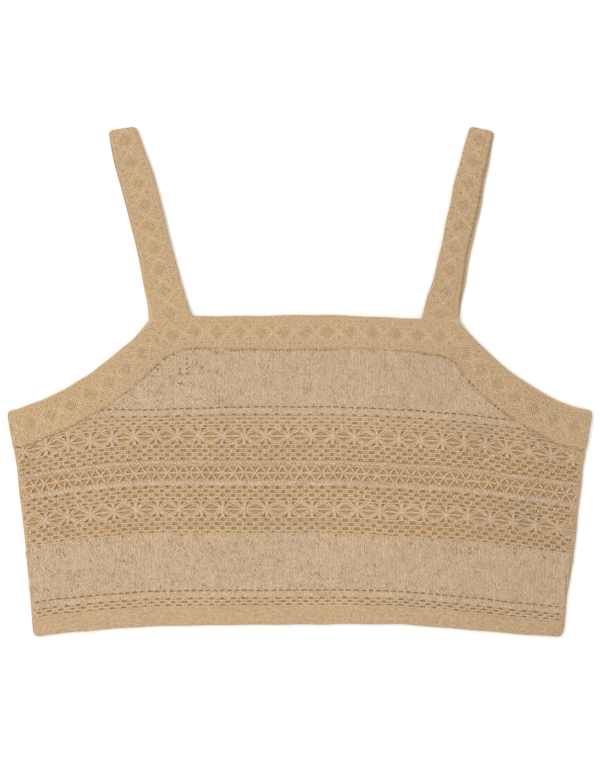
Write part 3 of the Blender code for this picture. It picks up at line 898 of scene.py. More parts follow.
# Eyelet net. Chains of beige yarn run across between the rows of eyelets, and pairs of
# short posts stand between the holes of a row.
CHAIN_YARN = 0.36 * MM
CHAIN_STEP = 1.15 * MM
CHAIN_LIFT, CHAIN_SWELL = 0.45 * MM, 0.1 * MM
CHAIN_SWAY = 0.14 * MM
CHAIN_GAP = 0.45  # from the outer holes of a net to the chain beside them (mm)
POST_SPREAD = 2.1 * MM
POST_LIFT = 0.18 * MM
CHAIN_COLOUR = (0.655, 0.475, 0.295)
NETS = ((1, 4), (5, 8), (9, 12), (13, 16), (18, 20))  # first and last row in EYELET_ROWS
SLIT_ROWS = (0, 17)  # rows in EYELET_ROWS that stand alone, with a chain 1 mm off each side


def vector_maths(tree, operation, first, second):
    """The output of a vector math node."""
    second_input = "Scale" if operation == "SCALE" else 1
    return output_of(tree, "ShaderNodeVectorMath", {
        0: first, second_input: second}, operation=operation)


def yarn_tree():
    """Two plies twisted round each other along every line."""
    tree, given, out = geometry_tree("two_ply_yarn", (
        ("Yarn radius", "Float"), ("Ply spread", "Float"), ("Ply length", "Float"),
        ("Drift", "Float"), ("Sides", "Int"), ("Yarn", "Material")))
    curve = output_of(tree, "GeometryNodeMeshToCurve", {"Mesh": given["Geometry"]})
    drift = noise(tree, scale=240.0, detail=1.0, output="Color")
    drift = vector_maths(tree, "SUBTRACT", drift, (0.5, 0.5, 0.5))
    curve = moved(tree, curve, vector_maths(tree, "SCALE", drift, given["Drift"]), "Offset")
    up = output_of(tree, "GeometryNodeInputNormal")
    beside = vector_maths(tree, "CROSS_PRODUCT", output_of(tree, "GeometryNodeInputTangent"), up)
    length = output_of(tree, "GeometryNodeSplineParameter", output="Length")
    turn = length * TURN / given["Ply length"]
    swell = noise(tree, scale=260.0, detail=1.0) * 0.9 + 0.55
    joined = node(tree, "GeometryNodeJoinGeometry")
    for half_turn in (0.0, math.pi):
        phase = turn + half_turn
        up_by = phase.through("COSINE") * given["Ply spread"]
        out_by = phase.through("SINE") * given["Ply spread"]
        way = vector_maths(tree, "ADD", vector_maths(tree, "SCALE", up, up_by),
                           vector_maths(tree, "SCALE", beside, out_by))
        ply = moved(tree, curve, way, "Offset")
        feed(joined, {0: yarn_tube(tree, ply, given["Yarn radius"], swell, given["Sides"])})
    finish_tree(tree, out, Measure(joined.outputs[0]), given["Yarn"])
    return tree


def across_front(step):
    """Places right across the front, a step apart."""
    return np.arange(-cad_high.x, cad_high.x, step)


def runs_on_panel(x, y, lift):
    """The stretches of a line that lie on the front, as points on the ground."""
    inside = on_panel(x, y, LINE_SIDE_MARGIN, STITCH_MARGIN)
    marks = np.flatnonzero(np.diff(np.concatenate([[False], inside, [False]]).astype(int)))
    runs = []
    for first, end in zip(marks[::2], marks[1::2]):
        if end - first > 1:
            runs.append(on_ground(x[first:end], y[first:end], lift[first:end]))
    return runs


def lines_mesh(lines):
    """Points and edges of several open lines."""
    edges, first = [], 0
    for line in lines:
        edges += [(first + i, first + i + 1) for i in range(len(line) - 1)]
        first += len(line)
    return np.concatenate(lines), edges


def chain_line(y, sway, shift):
    """A chain right across the front, which sways up over the eyelets below it."""
    x = across_front(CHAIN_STEP)
    wave = sway * np.cos(TURN * (x / EYELET_PITCH - shift))
    lift = CHAIN_LIFT + CHAIN_SWELL * np.cos(2 * TURN * (x / EYELET_PITCH - shift))
    return *laid(x, y, wave), lift


YARN_LINES = yarn_tree()
chains, posts = [], []
for first, last in NETS:
    rows = EYELET_ROWS[first:last + 1]
    middles, heights = [row[0] for row in rows], [row[4] for row in rows]
    levels = [middles[0] + 0.5 * heights[0] + CHAIN_GAP]
    levels += [0.5 * (a + b) for a, b in zip(middles, middles[1:])]
    levels.append(middles[-1] - 0.5 * heights[-1] - CHAIN_GAP)
    for place, y in enumerate(levels):
        below = rows[min(place, len(rows) - 1)]
        line = chain_line(y * MM, CHAIN_SWAY, below[1])
        chains += runs_on_panel(*line)
    for y, shift, pitch, *_ in rows:
        for side in (-0.5, 0.5):
            x = columns(pitch * MM, shift + 0.5) + side * POST_SPREAD
            posts.append((x, np.full(len(x), y * MM)))

for alone in SLIT_ROWS:
    y, shift, pitch, *_ = EYELET_ROWS[alone]
    x = columns(pitch * MM, shift + 0.5)
    posts.append((x, np.full(len(x), y * MM)))
    for way in (-1.0, 1.0):
        line = chain_line((y + way) * MM, 0.0, 0.0)
        chains += runs_on_panel(*line)

chain_yarn = yarn_cloth("chain_yarn_beige", CHAIN_COLOUR, roughness=0.9, variation=0.18, grain=0.5)
net = grown("eyelet_chains", *lines_mesh(chains), YARN_LINES, yarn_radius=CHAIN_YARN,
            ply_spread=0.23 * MM, ply_length=4.6 * MM, drift=0.6 * MM, sides=4,
            yarn=chain_yarn)
x, y = (np.concatenate(values) for values in zip(*posts))
x, down = laid(x, y)
kept = on_panel(x, down, STITCH_SIDE_MARGIN, STITCH_MARGIN)
post_points = on_ground(x[kept], down[kept], np.full(kept.sum(), POST_LIFT))
net_posts = grown("eyelet_posts", post_points, [], STITCHES, width=1.1 * MM, height=1.2 * MM,
                  yarn_radius=0.74 * MM, arch=0.16 * MM, unevenness=0.16, seed=23,
                  yarn=chain_yarn)
front_pieces += [net, net_posts]


# Stars and lattice. Twelve rays of raised yarn meet in the middle of each star, and the
# lattice is two zigzag yarns that cross on a straight one, with another straight one along
# each side.
STAR_HALF = 5.8 * MM
TIP_ROUND = 0.004  # of a zigzag
RAY_YARN = 0.58 * MM
RAY_STEP = 0.95 * MM
RAY_OVER = 0.9 * MM  # of the long rays, past the tips of the gaps
UPRIGHT_LEAN = 0.6 * MM
BAR_LIFT, RAY_LIFT, UPRIGHT_LIFT, ARC_LIFT = 0.1 * MM, 0.2 * MM, 0.34 * MM, 0.12 * MM
LATTICE_STEP = 0.85 * MM
LATTICE_OVER, LATTICE_BAR_OVER = 0.5 * MM, 0.35 * MM  # past the tips of the triangles
LATTICE_LIFT, LATTICE_SWELL, LATTICE_BAR_LIFT = 0.20 * MM, 0.12 * MM, -0.12 * MM


def zigzag(x, pitch, height):
    """A rounded zigzag that is at its height at x = 0 and back on the row half a pitch on."""
    share = np.abs((x / pitch + 0.5) % 1.0 - 0.5) * 2.0
    return height * (1.0 - np.sqrt(share**2 + TIP_ROUND))


def star_lines(row):
    """Yarns of one row of stars: the bar, the long rays beside the gaps, the two upright
    rays, and the arcs over the gaps."""
    x = across_front(RAY_STEP)
    lines = [(x, np.zeros(len(x)), BAR_LIFT)]
    share = np.linspace(0.0, 1.0, 10)
    for way in (1.0, -1.0):
        lines.append((x, way * zigzag(x, STAR_PITCH, STAR_GAP_HEIGHT + RAY_OVER), RAY_LIFT))
        for centre in columns(STAR_PITCH, 0.5):
            for lean in (-UPRIGHT_LEAN, UPRIGHT_LEAN):
                upright = centre + lean * share**0.8
                lines.append((upright, way * STAR_HALF * share, UPRIGHT_LIFT))
            for side in (-1.0, 1.0):
                arc = STAR_HALF * np.sin(0.5 * math.pi * share)
                lines.append((centre + side * EYELET_PITCH * share, way * arc, ARC_LIFT))
    made = []
    for line_x, line_y, lift in lines:
        made += runs_on_panel(*laid(line_x, row, line_y), np.full(len(line_x), lift))
    return made


def lattice_lines():
    """Yarns of the lattice: two zigzags that cross, and the bars through and beside them."""
    even = across_front(LATTICE_STEP)
    x, down = laid(even, LATTICE_ROW)
    lines = []
    for shift in (0.25, 0.75):
        wave = zigzag(even - shift * STAR_PITCH, STAR_PITCH, 2.0) - 1.0
        swell = np.sin(TURN * (even / STAR_PITCH + shift))
        lines.append((down + wave * (LATTICE_HEIGHT + LATTICE_OVER),
                      LATTICE_LIFT + LATTICE_SWELL * swell))
    for side in (-1.0, 0.0, 1.0):
        rise = side * (LATTICE_HEIGHT + LATTICE_BAR_OVER)
        lines.append((down + rise, np.full(len(x), LATTICE_BAR_LIFT)))
    made = []
    for y, lift in lines:
        made += runs_on_panel(x, y, lift)
    return made


STAR_COLOUR = (0.60, 0.437, 0.28)
crochet_yarn = yarn_cloth("crochet_yarn_beige", STAR_COLOUR, roughness=0.9, variation=0.14, grain=1.1)
for name, lines in (("upper_stars", star_lines(STAR_ROWS[0])),
                    ("lower_stars", star_lines(STAR_ROWS[1])), ("lattice", lattice_lines())):
    piece = grown(name + "_yarns", *lines_mesh(lines), YARN_LINES, yarn_radius=RAY_YARN,
                  ply_spread=0.26 * MM, ply_length=3.2 * MM, drift=2.2 * MM, sides=4,
                  yarn=crochet_yarn)
    front_pieces.append(piece)

for piece in front_pieces + [front]:
    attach(piece, "root")
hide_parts("front_crochet_panel")


# Neck and armhole trims. Golden bands of fine knit with a lattice of raised bars and a
# lozenge of openwork in each mesh, sewn to the front and back and mitred at the straps.
LOZENGE_PITCH = STAR_PITCH
LOZENGE_HALF = 8.2 * MM
GRAIN = 1.9  # mm
BAR_RISE, BAR_WIDTH = 0.22 * MM, 0.17  # widths as shares of half a mesh
CORE_RISE, CORE_WIDTH = 0.30 * MM, 0.66
PIN_ROW, PIN_RADIUS = 3.7, 0.85  # from the middle line (mm)
EDGE_DOT_ROW, EDGE_DOT_RADIUS = 7.6, 0.75
PIN_MASK, LINE_MASK, EDGE_DOT_MASK, FAINT_MASK = 0.7, 0.8, 0.6, 0.68  # 1 is the openwork
CORE_TINT, BAR_TINT = 0.03, -0.13
PLAIN_EDGE = (-12.6, -11.4)  # from the middle line out, where the openwork ends (mm)
RELIEF_OUTER = (1.6 * MM, 3.1 * MM)  # from each edge, where it starts and where it is full
RELIEF_INNER = (0.8 * MM, 2.0 * MM)
TRIM_STEP = 0.55 * MM
EDGE_ROUND = 2.0 * MM
EDGE_COLUMNS = (0.0, 0.04, 0.15, 0.35, 0.65)  # of its reach
OUTER_FALL, INNER_FALL = 1.5 * MM, 0.4 * MM
BACK_STEP = 4.0 * MM
BACK_ROUND, BACK_FALL = 0.8 * MM, 0.6 * MM
TRIM_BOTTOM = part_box("front_neck_trim")[0].z
TRIM_TOP = 4.8 * MM
TRIM_COLOUR = (0.536, 0.376, 0.222)
CORNER = 3.4 * MM
STRAP_JOINS = (-112.0, -107.0, -77.0, -75.0, 84.5, 86.5, 112.0, 117.0)  # x where they blend
JOIN_FALL = 0.3 * MM
MITRE_DEPTH, MITRE_WIDTH = 0.2 * MM, 0.5 * MM


def rounded_edge(distance, reach, depth):
    """Fall of a band's surface near its edge, on a quarter of an ellipse."""
    share = np.clip(1.0 - distance / reach, 0.0, 1.0)
    return depth * (1.0 - np.sqrt(1.0 - share**2))


def lozenge_relief(along, across, width):
    """Rise of the pattern at a place along and across a band."""
    half = 0.5 * LOZENGE_PITCH
    beside = across - 0.5 * width
    bars = 0.0
    for way in (1.0, -1.0):
        off = np.abs((along / half + way * beside / LOZENGE_HALF) % 2.0 - 1.0)
        bars = np.maximum(bars, np.exp(-((off / BAR_WIDTH) ** 2)))
    wrapped = (along / LOZENGE_PITCH + 0.5) % 1.0 - 0.5
    far = np.abs(wrapped) * 2.0 + np.abs(beside) / LOZENGE_HALF
    core = np.clip(1.0 - far / CORE_WIDTH, 0.0, 1.0) ** 0.5
    fade = np.interp(across, RELIEF_OUTER, (0, 1)) * np.interp(width - across, RELIEF_INNER, (0, 1))
    return fade * (BAR_RISE * bars + CORE_RISE * core)


def band_mesh(name, rings, coordinates, cloth):
    """Closed band through equal rings, with knit coordinates in mm as its UV map."""
    count, size = rings.shape[:2]
    i, j = np.meshgrid(np.arange(count - 1), np.arange(size), indexing="ij")
    k = (j + 1) % size
    quads = np.stack([i * size + j, i * size + k, (i + 1) * size + k, (i + 1) * size + j], axis=-1)
    faces = quads.reshape(-1, 4).tolist()
    faces += [list(range(size)), list(range((count - 1) * size, count * size))]
    piece = new_piece(name, rings.reshape(-1, 3), faces, cloth)
    corners = np.zeros(len(piece.data.loops), int)
    piece.data.loops.foreach_get("vertex_index", corners)
    weave = piece.data.uv_layers.new(name="weave")
    weave.data.foreach_set("uv", (coordinates.reshape(-1, 2) / MM)[corners].ravel())
    return piece


def soft_step(tree, value, low, high):
    """From 0 at low to 1 at high, smoothly."""
    return ramp(tree, value, low, high, kind="SMOOTHSTEP")


def dot_at(tree, x, y, radius):
    """A soft round dot where x and y are both zero."""
    return soft_step(tree, (x * x + y * y).through("SQRT"), radius, 0.4 * radius)


def knit_group():
    """Fine diagonal knit, with dots of openwork in the lozenges and at their corners: a height, and a
    mask for painted shade in the dots and the fine holes of the knit, a little stronger in the cores
    and weaker on the bars. It reads the place along and across a band in mm."""
    group, given, out = node_group("ShaderNodeTree", "lozenge_knit", (("Place", "Vector"),),
                                   (("Height", "Float"), ("Dots", "Float")))
    place = given["Place"]
    along, across = apart(group, place)
    off_middle = abs(across)
    drift = noise(group, scale=0.5, detail=1.0, place=place, output="Color")
    drift = vector_maths(group, "SCALE", drift, 0.5)
    uneven = apart(group, vector_maths(group, "ADD", place, drift))
    rows, wales = ((side * (TURN / GRAIN)).through("COSINE") for side in uneven)
    grain = rows * wales
    holes = soft_step(group, grain, 0.05, 0.6)

    pitch = LOZENGE_PITCH / MM
    from_middle = abs((along / pitch).through("WRAP", 0.5, -0.5))
    far = from_middle * 2.0 + off_middle / (LOZENGE_HALF / MM)  # 1 along the bars
    off_bar = abs(far - 1.0)
    core = soft_step(group, far, 0.64, 0.48) * holes
    lines = soft_step(group, off_bar, 0.16, 0.08) * holes * soft_step(group, off_middle, 2.0, 4.0)
    corner = (0.5 - from_middle) * pitch
    pins = dot_at(group, corner, off_middle - PIN_ROW, PIN_RADIUS)
    quarter = (along / (0.25 * pitch)).through("WRAP", 0.5, -0.5) * (0.25 * pitch)
    edge_dots = dot_at(group, quarter, off_middle - EDGE_DOT_ROW, EDGE_DOT_RADIUS)
    mask = core
    for kind, share in ((pins, PIN_MASK), (lines, LINE_MASK), (edge_dots, EDGE_DOT_MASK)):
        mask = mask.through("MAXIMUM", kind * share)

    patches = noise(group, scale=0.4, detail=3.0, place=place)
    speckle = noise(group, scale=0.8, detail=1.0, place=place)
    mask = mask * soft_step(group, patches, 0.25, 0.65)
    faint = holes * soft_step(group, speckle, 0.33, 0.66) * FAINT_MASK
    mask = mask.through("MAXIMUM", faint) * soft_step(group, across, *PLAIN_EDGE)
    mask = mask + soft_step(group, far, 0.8, 0.5) * CORE_TINT
    mask = mask + soft_step(group, off_bar, 0.2, 0.04) * BAR_TINT
    feed(out, {"Height": grain * -0.3 - mask, "Dots": mask})
    return group


KNIT = knit_group()


def trim_cloth(name, colour):
    """Golden knit with lozenges, along and across its band, with painted shade in its openwork."""
    made, tree, shader = new_cloth(name, roughness=0.9, sheen=0.15)
    knit = effect(tree, KNIT, {"Place": output_of(tree, "ShaderNodeUVMap", uv_map="weave")})
    tint, fibres = mottled_and_shaded(tree, colour, variation=0.1, grain=0.4)
    # Painted shade in the openwork dots and the fine holes of the knit; the openwork pattern itself is
    # real.
    tint = with_painted_shade(tree, tint, knit["Dots"], share=0.64)
    finish_cloth(tree, shader, tint, fibres * 0.3 + knit["Height"], depth=0.36 * MM)
    return made


def band_columns(width, step):
    """Distances from the outer edge, close together on the rounded edges."""
    edge = EDGE_ROUND * np.array(EDGE_COLUMNS)
    inner = np.linspace(EDGE_ROUND, width - EDGE_ROUND, int((width - 2 * EDGE_ROUND) / step) + 2)
    return np.concatenate([edge, inner, width - edge[::-1]])


def cornered(outer, inner, distance):
    """The outer edge of a band, drawn in round its corner at the end of the band."""
    across = inner - outer
    share = rounded_edge(distance, CORNER, CORNER)[:, None, None]
    return outer + across / np.linalg.norm(across, axis=2, keepdims=True) * share


def across_band(outer, inner, step):
    """Places across a band, their distances from its outer edge, its widths and the middling
    width."""
    width = np.linalg.norm(inner - outer, axis=2)
    middle = float(width.mean())
    share = band_columns(middle, step) / middle
    return outer + (inner - outer) * share[:, None], share * width, width, middle


def plain_back(across):
    """Surface of a band of the back, rounded at its edge."""
    return BACK_TOP - rounded_edge(across, BACK_ROUND, BACK_FALL)


def closed_band(name, edges, places, height, bottom, along, beside, cloth):
    """A band from its surface down to a flat underside between its inner and outer edge."""
    top = np.concatenate([places, height[:, :, None]], axis=2)
    under = np.concatenate(edges, axis=1)
    under = np.concatenate([under, np.full((len(under), 2, 1), bottom)], axis=2)
    rings = np.concatenate([top, under], axis=1)
    settled = settle(rings.reshape(-1, 3)).reshape(rings.shape)
    beside = np.concatenate(beside, axis=1)
    lengths = np.broadcast_to(along[:, None], beside.shape)
    return band_mesh(name, settled, np.stack([lengths, beside], axis=2), cloth)


def trim_band(name, table, mitres, back, cloth):
    """A trim band over its table of rows, with a rounded corner at the ends without a mitre and, on the
    front, a faint mitre at the ends that have one."""
    step = BACK_STEP if back else TRIM_STEP
    rows, along = smooth_rows(table, step)
    outer, inner = rows[:, None, 0:2], rows[:, None, 2:4]
    joins = np.interp(outer[:, :, 0], np.array(STRAP_JOINS) * MM, (0, 1, 1, 0, 0, 1, 1, 0))
    mitre = np.zeros(len(along))
    for mitred, distance in zip(mitres, (along - along[0], along[-1] - along)):
        if mitred:
            mitre += MITRE_DEPTH * np.exp(-((distance / MITRE_WIDTH) ** 2))
        else:
            outer = cornered(outer, inner, distance)
    places, across, width, middle = across_band(outer, inner, step)
    if back:
        height, bottom = plain_back(across), BACK_BOTTOM
    else:
        height = TRIM_TOP + lozenge_relief(along[:, None], across, width)
        edge_fall = OUTER_FALL * (1.0 - joins) + JOIN_FALL * joins
        height = height - rounded_edge(across, EDGE_ROUND, 1.0) * edge_fall
        height = height - rounded_edge(width - across, 0.6 * EDGE_ROUND, INNER_FALL)
        height = height - mitre[:, None]
        height = height - side_roll(places.reshape(-1, 2)).reshape(height.shape)
        bottom = TRIM_BOTTOM
    beside = (across - 0.5 * width, 0.5 * width, -0.5 * width)
    band = closed_band(name, (inner, outer), places, height, bottom, along, beside, cloth)
    return band, middle, along


TRIMS = (
    ("armhole_trim_left", LEFT_ARMHOLE, (True, False)),
    ("neck_trim", NECK, (True, True)),
    ("armhole_trim_right", RIGHT_ARMHOLE, (True, False)),
)
trim_knit = trim_cloth("trim_knit_golden", TRIM_COLOUR)
for name, table, mitres in TRIMS:
    for side in ("front_", "back_"):
        band, width, along = trim_band(side + name + "_knit", table, mitres, side == "back_", trim_knit)
        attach(band, "root")
        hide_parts(side + name)
        under = "back_" + name + "_knit" if side == "front_" else "floor"
        float(along[-1] - along[0])


# Hem bands. A narrow golden band in fine knit with faint wavy rows, rounded at its lower edge and sewn
# to the bottom of the front and of the back.
HEM_EDGE = -169.7 * MM
HEM_TOP = 4.4 * MM
HEM_STEP = 0.7 * MM
HEM_BACK_POINTS = 90
HEM_ROUND, HEM_FALL = 1.8 * MM, 1.3 * MM
SEAM_ROUND, SEAM_FALL = 0.7 * MM, 0.25 * MM
HEM_WAVES = ((0.35 * MM, 2.1 * MM), (0.3 * MM, 7.0 * MM))  # of a row: sway, length / 2 pi
HEM_ROW, HEM_RISE = 3.1 * MM, 0.13 * MM
HEM_COLOUR = (0.564, 0.404, 0.254)


def hem_band(name, back, cloth):
    """A hem band along the bowed edge, with rounded corners and, on the front, faint rows that wave."""
    count = HEM_BACK_POINTS if back else int(2 * cad_high.x / HEM_STEP)
    low, high = row_line(HEM_EDGE, count), row_line(HEM_SEAM, count)
    outer, inner = low[:, None], high[:, None]
    for side in (0, -1):
        outer = cornered(outer, inner, np.linalg.norm(low - low[side], axis=1))
    places, across, width, middle = across_band(outer, inner, BACK_STEP if back else HEM_STEP)
    along = np.linspace(-0.5, 0.5, count) * float(high[-1][0] - high[0][0])
    if back:
        height, bottom = plain_back(across), BACK_BOTTOM
    else:
        wave = across + sum(sway * np.sin(along / length) for sway, length in HEM_WAVES)[:, None]
        height = HEM_TOP + HEM_RISE * np.cos(TURN * wave / HEM_ROW)
        height = height - rounded_edge(across, HEM_ROUND, HEM_FALL)
        height = height - rounded_edge(width - across, SEAM_ROUND, SEAM_FALL)
        height = height - side_roll(places.reshape(-1, 2)).reshape(height.shape)
        bottom = TRIM_BOTTOM
    beside = (across, width, 0.0 * width)
    band = closed_band(name, (inner, outer), places, height, bottom, along, beside, cloth)
    return band, middle


def hem_cloth(name, colour):
    """Fine golden knit with faint rows along its band, with painted shade in the gaps of the knit and
    in the low places of the rows.
    """
    made, tree, shader = new_cloth(name, roughness=0.9, sheen=0.15)
    place = output_of(tree, "ShaderNodeUVMap", uv_map="weave")
    knit = effect(tree, JERSEY, {"Place": place, "Wale": 2.4, "Course": 1.7})
    tint, fibres = mottled_and_shaded(tree, colour, variation=0.1, grain=0.9)
    # Painted shade in the gaps between the loops.
    tint = with_painted_shade(tree, tint, knit["Gaps"], share=0.45)
    drawn = vector_maths(tree, "MULTIPLY", place, (0.3, 0.75, 1.0))
    waves = noise(tree, scale=1.4, detail=2.0, place=drawn, Distortion=1.2)
    # Painted shade in the low places of the faint rows.
    tint = with_painted_shade(tree, tint, soft_step(tree, waves, 0.5, 0.36), share=0.16)
    height = fibres * 0.6 + knit["Height"] + waves
    finish_cloth(tree, shader, tint, height, depth=0.3 * MM)
    return made


hem_knit = hem_cloth("hem_knit_golden", HEM_COLOUR)
for name in ("front_hem_band", "back_hem_band"):
    band, width = hem_band(name + "_knit", name.startswith("back"), hem_knit)
    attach(band, "root")
    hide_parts(name)


# Shoulder straps. Each is one strip of the trim's knit, from the front neck up to the
# shoulder, folded over there and back down behind itself.
LEFT_STRAP = (  # outer edge x, y, inner edge x, y, show of the back half (mm)
    (-105.6, 40.2, -74.6, 42.4, 0.2),
    (-106.1, 43.9, -75.3, 46.0, 0.2),
    (-107.0, 56.0, -79.9, 59.9, 0.3),
    (-110.3, 72.8, -85.9, 78.8, 0.4),
    (-115.2, 95.2, -91.8, 101.2, 0.6),
    (-120.9, 117.6, -97.1, 123.6, 0.9),
    (-126.3, 140.0, -102.8, 146.0, 1.2),
    (-131.3, 159.6, -110.1, 165.2, 1.2),
    (-134.1, 174.4, -114.4, 177.2, 0.6),
)
RIGHT_STRAP = (
    (110.9, 40.3, 84.4, 41.5, 0.2),
    (111.7, 43.9, 85.1, 44.85, 0.2),
    (113.7, 56.0, 89.8, 59.5, 1.4),
    (116.5, 72.8, 94.9, 77.7, 2.6),
    (120.4, 95.2, 99.9, 100.1, 2.8),
    (125.4, 117.6, 104.3, 122.5, 2.5),
    (129.9, 140.0, 109.7, 144.9, 2.4),
    (133.0, 156.8, 114.4, 161.7, 2.0),
    (136.4, 173.8, 118.7, 177.1, 1.0),
)
STRAP_MIDDLE = 2.15 * MM
STRAP_BACK_STEP = 3.0 * MM
FOLD_RINGS = 9
FOLDED_EDGE = 3.4 * MM
BASE_RISE = 0.25 * MM
BASE_REACH = 9.0 * MM
TUCKED = 3.4 * MM
CROWN_CORNER = 1.8 * MM
STRAP_FALL = 1.1 * MM
GROOVE_DEPTH, GROOVE_WIDTH = 0.35 * MM, 0.7 * MM
RELIEF_START = 2.0 * MM


def unit(way):
    return way / np.linalg.norm(way)


def strap_route(table):
    """Rows of a strap up from the neck, round the fold and down behind: each row, how far it
    has turned, and its place along the strip."""
    front, along = smooth_rows(table, TRIM_STEP)
    back, back_along = smooth_rows(table, STRAP_BACK_STEP)
    turns = np.linspace(0.0, math.pi, FOLD_RINGS + 2)[1:-1]
    folded = 2 * along[-1] + STRAP_MIDDLE * math.pi
    route = [(row, 0.0, s) for row, s in zip(front, along)]
    route += [(front[-1], turn, along[-1] + STRAP_MIDDLE * turn) for turn in turns]
    route += [(row, math.pi, folded - s) for row, s in zip(back[::-1], back_along[::-1])]
    return route, front, along


def strap_surface(across, width, s, behind, from_base):
    """How far the outside of a strap stands off its middle, and the rise of its pattern."""
    reach = STRAP_MIDDLE - rounded_edge(across, EDGE_ROUND, STRAP_FALL)
    reach = reach - rounded_edge(width - across, EDGE_ROUND, STRAP_FALL)
    groove = GROOVE_DEPTH * np.exp(-(((across - FOLDED_EDGE) / GROOVE_WIDTH) ** 2))
    clear = max(0.0, 1.0 - 2.0 * behind) * min(1.0, max(0.0, from_base / RELIEF_START))
    rise = (lozenge_relief(s, across, width) - groove) * clear
    if behind == 0.0:
        rise = rise + BASE_RISE * min(1.0, max(0.0, 1.0 - from_base / BASE_REACH))
    return reach, rise


def strap_band(name, table, cloth):
    """One strip up the front of its table, round the fold at the shoulder and down behind."""
    route, front, along = strap_route(table)
    crosswise = unit(front[-1][2:4] - front[-1][0:2])
    onward = np.array([-crosswise[1], crosswise[0]]) * math.copysign(1.0, crosswise[0])
    middle = float(np.linalg.norm(front[:, 2:4] - front[:, 0:2], axis=1).mean())
    share = band_columns(middle, TRIM_STEP) / middle
    low = 0.5 * SEAM_GAP
    rings, weave = [], []
    for row, turn, s in route:
        behind = turn / math.pi
        from_crown = STRAP_MIDDLE * (1.0 - math.sin(turn))
        if turn == 0.0:
            from_crown += max(along[-1] - abs(s), 0.0)
        elif turn == math.pi:
            from_crown += max(s - along[-1] - STRAP_MIDDLE * math.pi, 0.0)
        corner = float(rounded_edge(from_crown, CROWN_CORNER, CROWN_CORNER))
        way = unit(row[2:4] - row[0:2])
        outer = row[0:2] + way * (row[4] * (1.0 - behind) + corner)
        inner = row[2:4] - way * (row[4] * behind + corner)
        width = float(np.linalg.norm(inner - outer))
        across = share * width
        reach, rise = strap_surface(across, width, s, behind, s - along[0] - TUCKED)
        flat = outer + (inner - outer) * share[:, None] + onward * (reach * math.sin(turn))[:, None]
        skin = np.column_stack([flat, STRAP_MIDDLE + reach * math.cos(turn) + rise])
        ends = np.array([inner, outer]) + onward * low * math.sin(turn)
        under = np.column_stack([ends, np.full(2, STRAP_MIDDLE + low * math.cos(turn))])
        rings.append(np.concatenate([skin, under]))
        beside = np.append(across - 0.5 * width, (0.5 * width, -0.5 * width))
        weave.append(np.stack([np.full(len(beside), s), beside], axis=1))
    rings = np.array(rings)
    rings = settle(rings.reshape(-1, 3)).reshape(rings.shape)
    return band_mesh(name, rings, np.array(weave), cloth), middle, route[-1][2] - route[0][2]


for name, table in (("strap_left", LEFT_STRAP), ("strap_right", RIGHT_STRAP)):
    band, width, length = strap_band(name + "_knit", table, trim_knit)
    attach(band, "root")
    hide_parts(name)


# Sewing. A dark brown thread runs along the seam of the trims, its brown painted shade for the slit of
# the seam, under short golden stitches that are left out where the seam is loose. A golden thread runs
# along the hem seam.
THREAD = 0.42 * MM
TRIM_SEAM_HEIGHT, HEM_SEAM_HEIGHT = 4.6 * MM, 4.2 * MM
HEM_LINE_POINTS = 400
SEAM_SLIT_SHADE_COLOUR = (0.54, 0.34, 0.155)


def sewing_tree():
    """A short bowed stitch across the line at every pitch along it."""
    tree, given, out = geometry_tree("sewing_stitches", (
        ("Pitch", "Float"), ("Stitch length", "Float"), ("Slant", "Float"), ("Skipped", "Float"),
        ("Thread radius", "Float"), ("Seed", "Int"), ("Thread", "Material")))
    seed = given["Seed"]
    path = output_of(tree, "GeometryNodeMeshToCurve", {"Mesh": given["Geometry"]})
    right, up = apart(tree, output_of(tree, "GeometryNodeInputTangent"))
    path = stored(tree, path, "heading", up.through("ARCTAN2", right))
    spots = output_of(tree, "GeometryNodeCurveToPoints", {
        "Curve": path, "Length": given["Pitch"]}, "Points", mode="LENGTH")
    loose = ramp(tree, noise(tree, scale=110.0, detail=1.0), 0.45, 0.6)
    skipped = output_of(tree, "FunctionNodeRandomValue", {
        "Probability": loose * given["Skipped"], "Seed": seed}, 3, data_type="BOOLEAN")
    spots = output_of(tree, "GeometryNodeDeleteGeometry", {
        "Geometry": spots, "Selection": skipped}, domain="POINT")
    line, along = straight_yarn(tree)
    hump = (along * math.pi).through("SINE")
    reach = (along - 0.5) * given["Stitch length"]
    place = vector(tree, reach * given["Slant"], reach, hump * (given["Thread radius"] * 1.6))
    stitch = yarn_tube(tree, moved(tree, line, place), given["Thread radius"],
                       hump * 0.3 + 0.7, sides=5)
    heading = output_of(tree, "GeometryNodeInputNamedAttribute", {
        "Name": "heading"}, "Attribute", data_type="FLOAT")
    turn = heading + random_value(tree, -0.2, 0.2, seed)
    sow(tree, out, spots, stitch, turn, (1.0, 1.0, 1.0), seed, given["Thread"])
    return tree


def seam_path(points, height):
    """A line of points at a height on the settled cloth."""
    places = np.array(points, float)
    return settle(np.column_stack([places, height - side_roll(places)]))


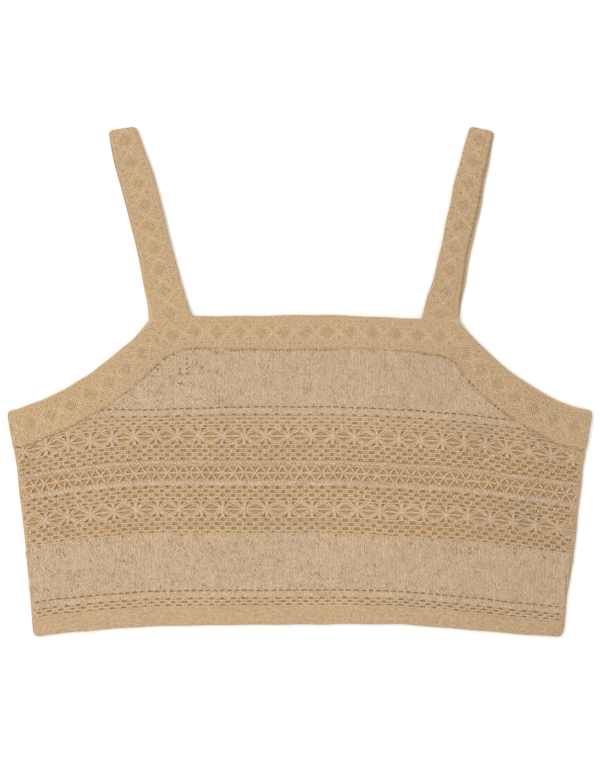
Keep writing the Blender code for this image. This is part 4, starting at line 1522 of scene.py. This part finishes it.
SEWING = sewing_tree()
sewing_thread = yarn_cloth("sewing_thread_golden", TRIM_COLOUR, roughness=0.85, variation=0.2)
hem_line = row_line(HEM_SEAM, HEM_LINE_POINTS, inset=1.5 * MM)
trim_line = SEAM[2:-2]
# The trim seam's thread is a dark brown that stands for the shade in the slit of the seam.
slit_shade_thread = yarn_cloth("seam_thread_brown", SEAM_SLIT_SHADE_COLOUR, roughness=0.85, variation=0.6, grain=3.0)
CORDS = {
    "trim_seam_thread": (trim_line, TRIM_SEAM_HEIGHT, slit_shade_thread),
    "hem_seam_thread": (hem_line, HEM_SEAM_HEIGHT, sewing_thread),
}
for name, (line, height, thread) in CORDS.items():
    cord = grown(name, *lines_mesh([seam_path(line, height)]), YARN_LINES,
                 yarn_radius=0.4 * MM, ply_spread=0.25 * MM, ply_length=3.1 * MM,
                 drift=0.5 * MM, sides=5, yarn=thread)
    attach(cord, "root")
sewn = grown("trim_seam_stitches", *lines_mesh([seam_path(trim_line, TRIM_SEAM_HEIGHT)]), SEWING,
             pitch=1.1 * MM, stitch_length=1.7 * MM, slant=0.35, skipped=0.9,
             thread_radius=THREAD, seed=5, thread=sewing_thread)
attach(sewn, "root")


# Surface, light and camera. The top lies on a plain white sheet under soft light from the
# upper left, and the camera looks straight down on it.
FLOOR_HALF, FLOOR_LEVEL = 6.0, -0.2 * MM
VIEW_HEIGHT = 535.5 * MM
VIEW_SHIFT = -0.35 * MM
FRONT_LEVEL = 4.0 * MM
LENS, SENSOR = 85.0, 36.0

floor_mesh = bpy.data.meshes.new("floor")
corners = [(x * FLOOR_HALF, y * FLOOR_HALF, FLOOR_LEVEL)
           for x, y in ((-1, -1), (1, -1), (1, 1), (-1, 1))]
floor_mesh.from_pydata(corners, [], [(0, 1, 2, 3)])
floor_paper = bpy.data.materials.new("floor_paper")
floor_paper.use_nodes = True
feed(floor_paper.node_tree.nodes["Principled BSDF"], {
    "Base Color": (0.93, 0.93, 0.93, 1.0), "Roughness": 1.0, "Specular IOR Level": 0.0})
floor_mesh.materials.append(floor_paper)
floor = in_scene("floor", floor_mesh)

world = bpy.data.worlds.new("soft_room")
bpy.context.scene.world = world
world.use_nodes = True
feed(world.node_tree.nodes["Background"], {"Color": (1.0, 0.99, 0.98, 1.0), "Strength": 0.80})


def soft_light(name, place, size, power):
    """A square soft light that faces the middle of the top."""
    data = bpy.data.lights.new(name, "AREA")
    data.size = size
    data.energy = power
    lamp = in_scene(name, data)
    lamp.location = place
    lamp.rotation_euler = (-Vector(place)).to_track_quat("-Z", "Y").to_euler()


soft_light("key", (-1.0, 0.5, 2.2), size=1.6, power=29.5)
soft_light("fill", (0.4, -1.4, 2.4), size=2.2, power=8.0)

camera = in_scene("camera", bpy.data.cameras.new("camera"))
camera.data.lens = LENS
camera.data.sensor_width = SENSOR
camera.location = (0.0, VIEW_SHIFT, VIEW_HEIGHT * LENS / SENSOR + FRONT_LEVEL)
bpy.context.scene.camera = camera
bpy.context.scene.view_settings.view_transform = "Standard"
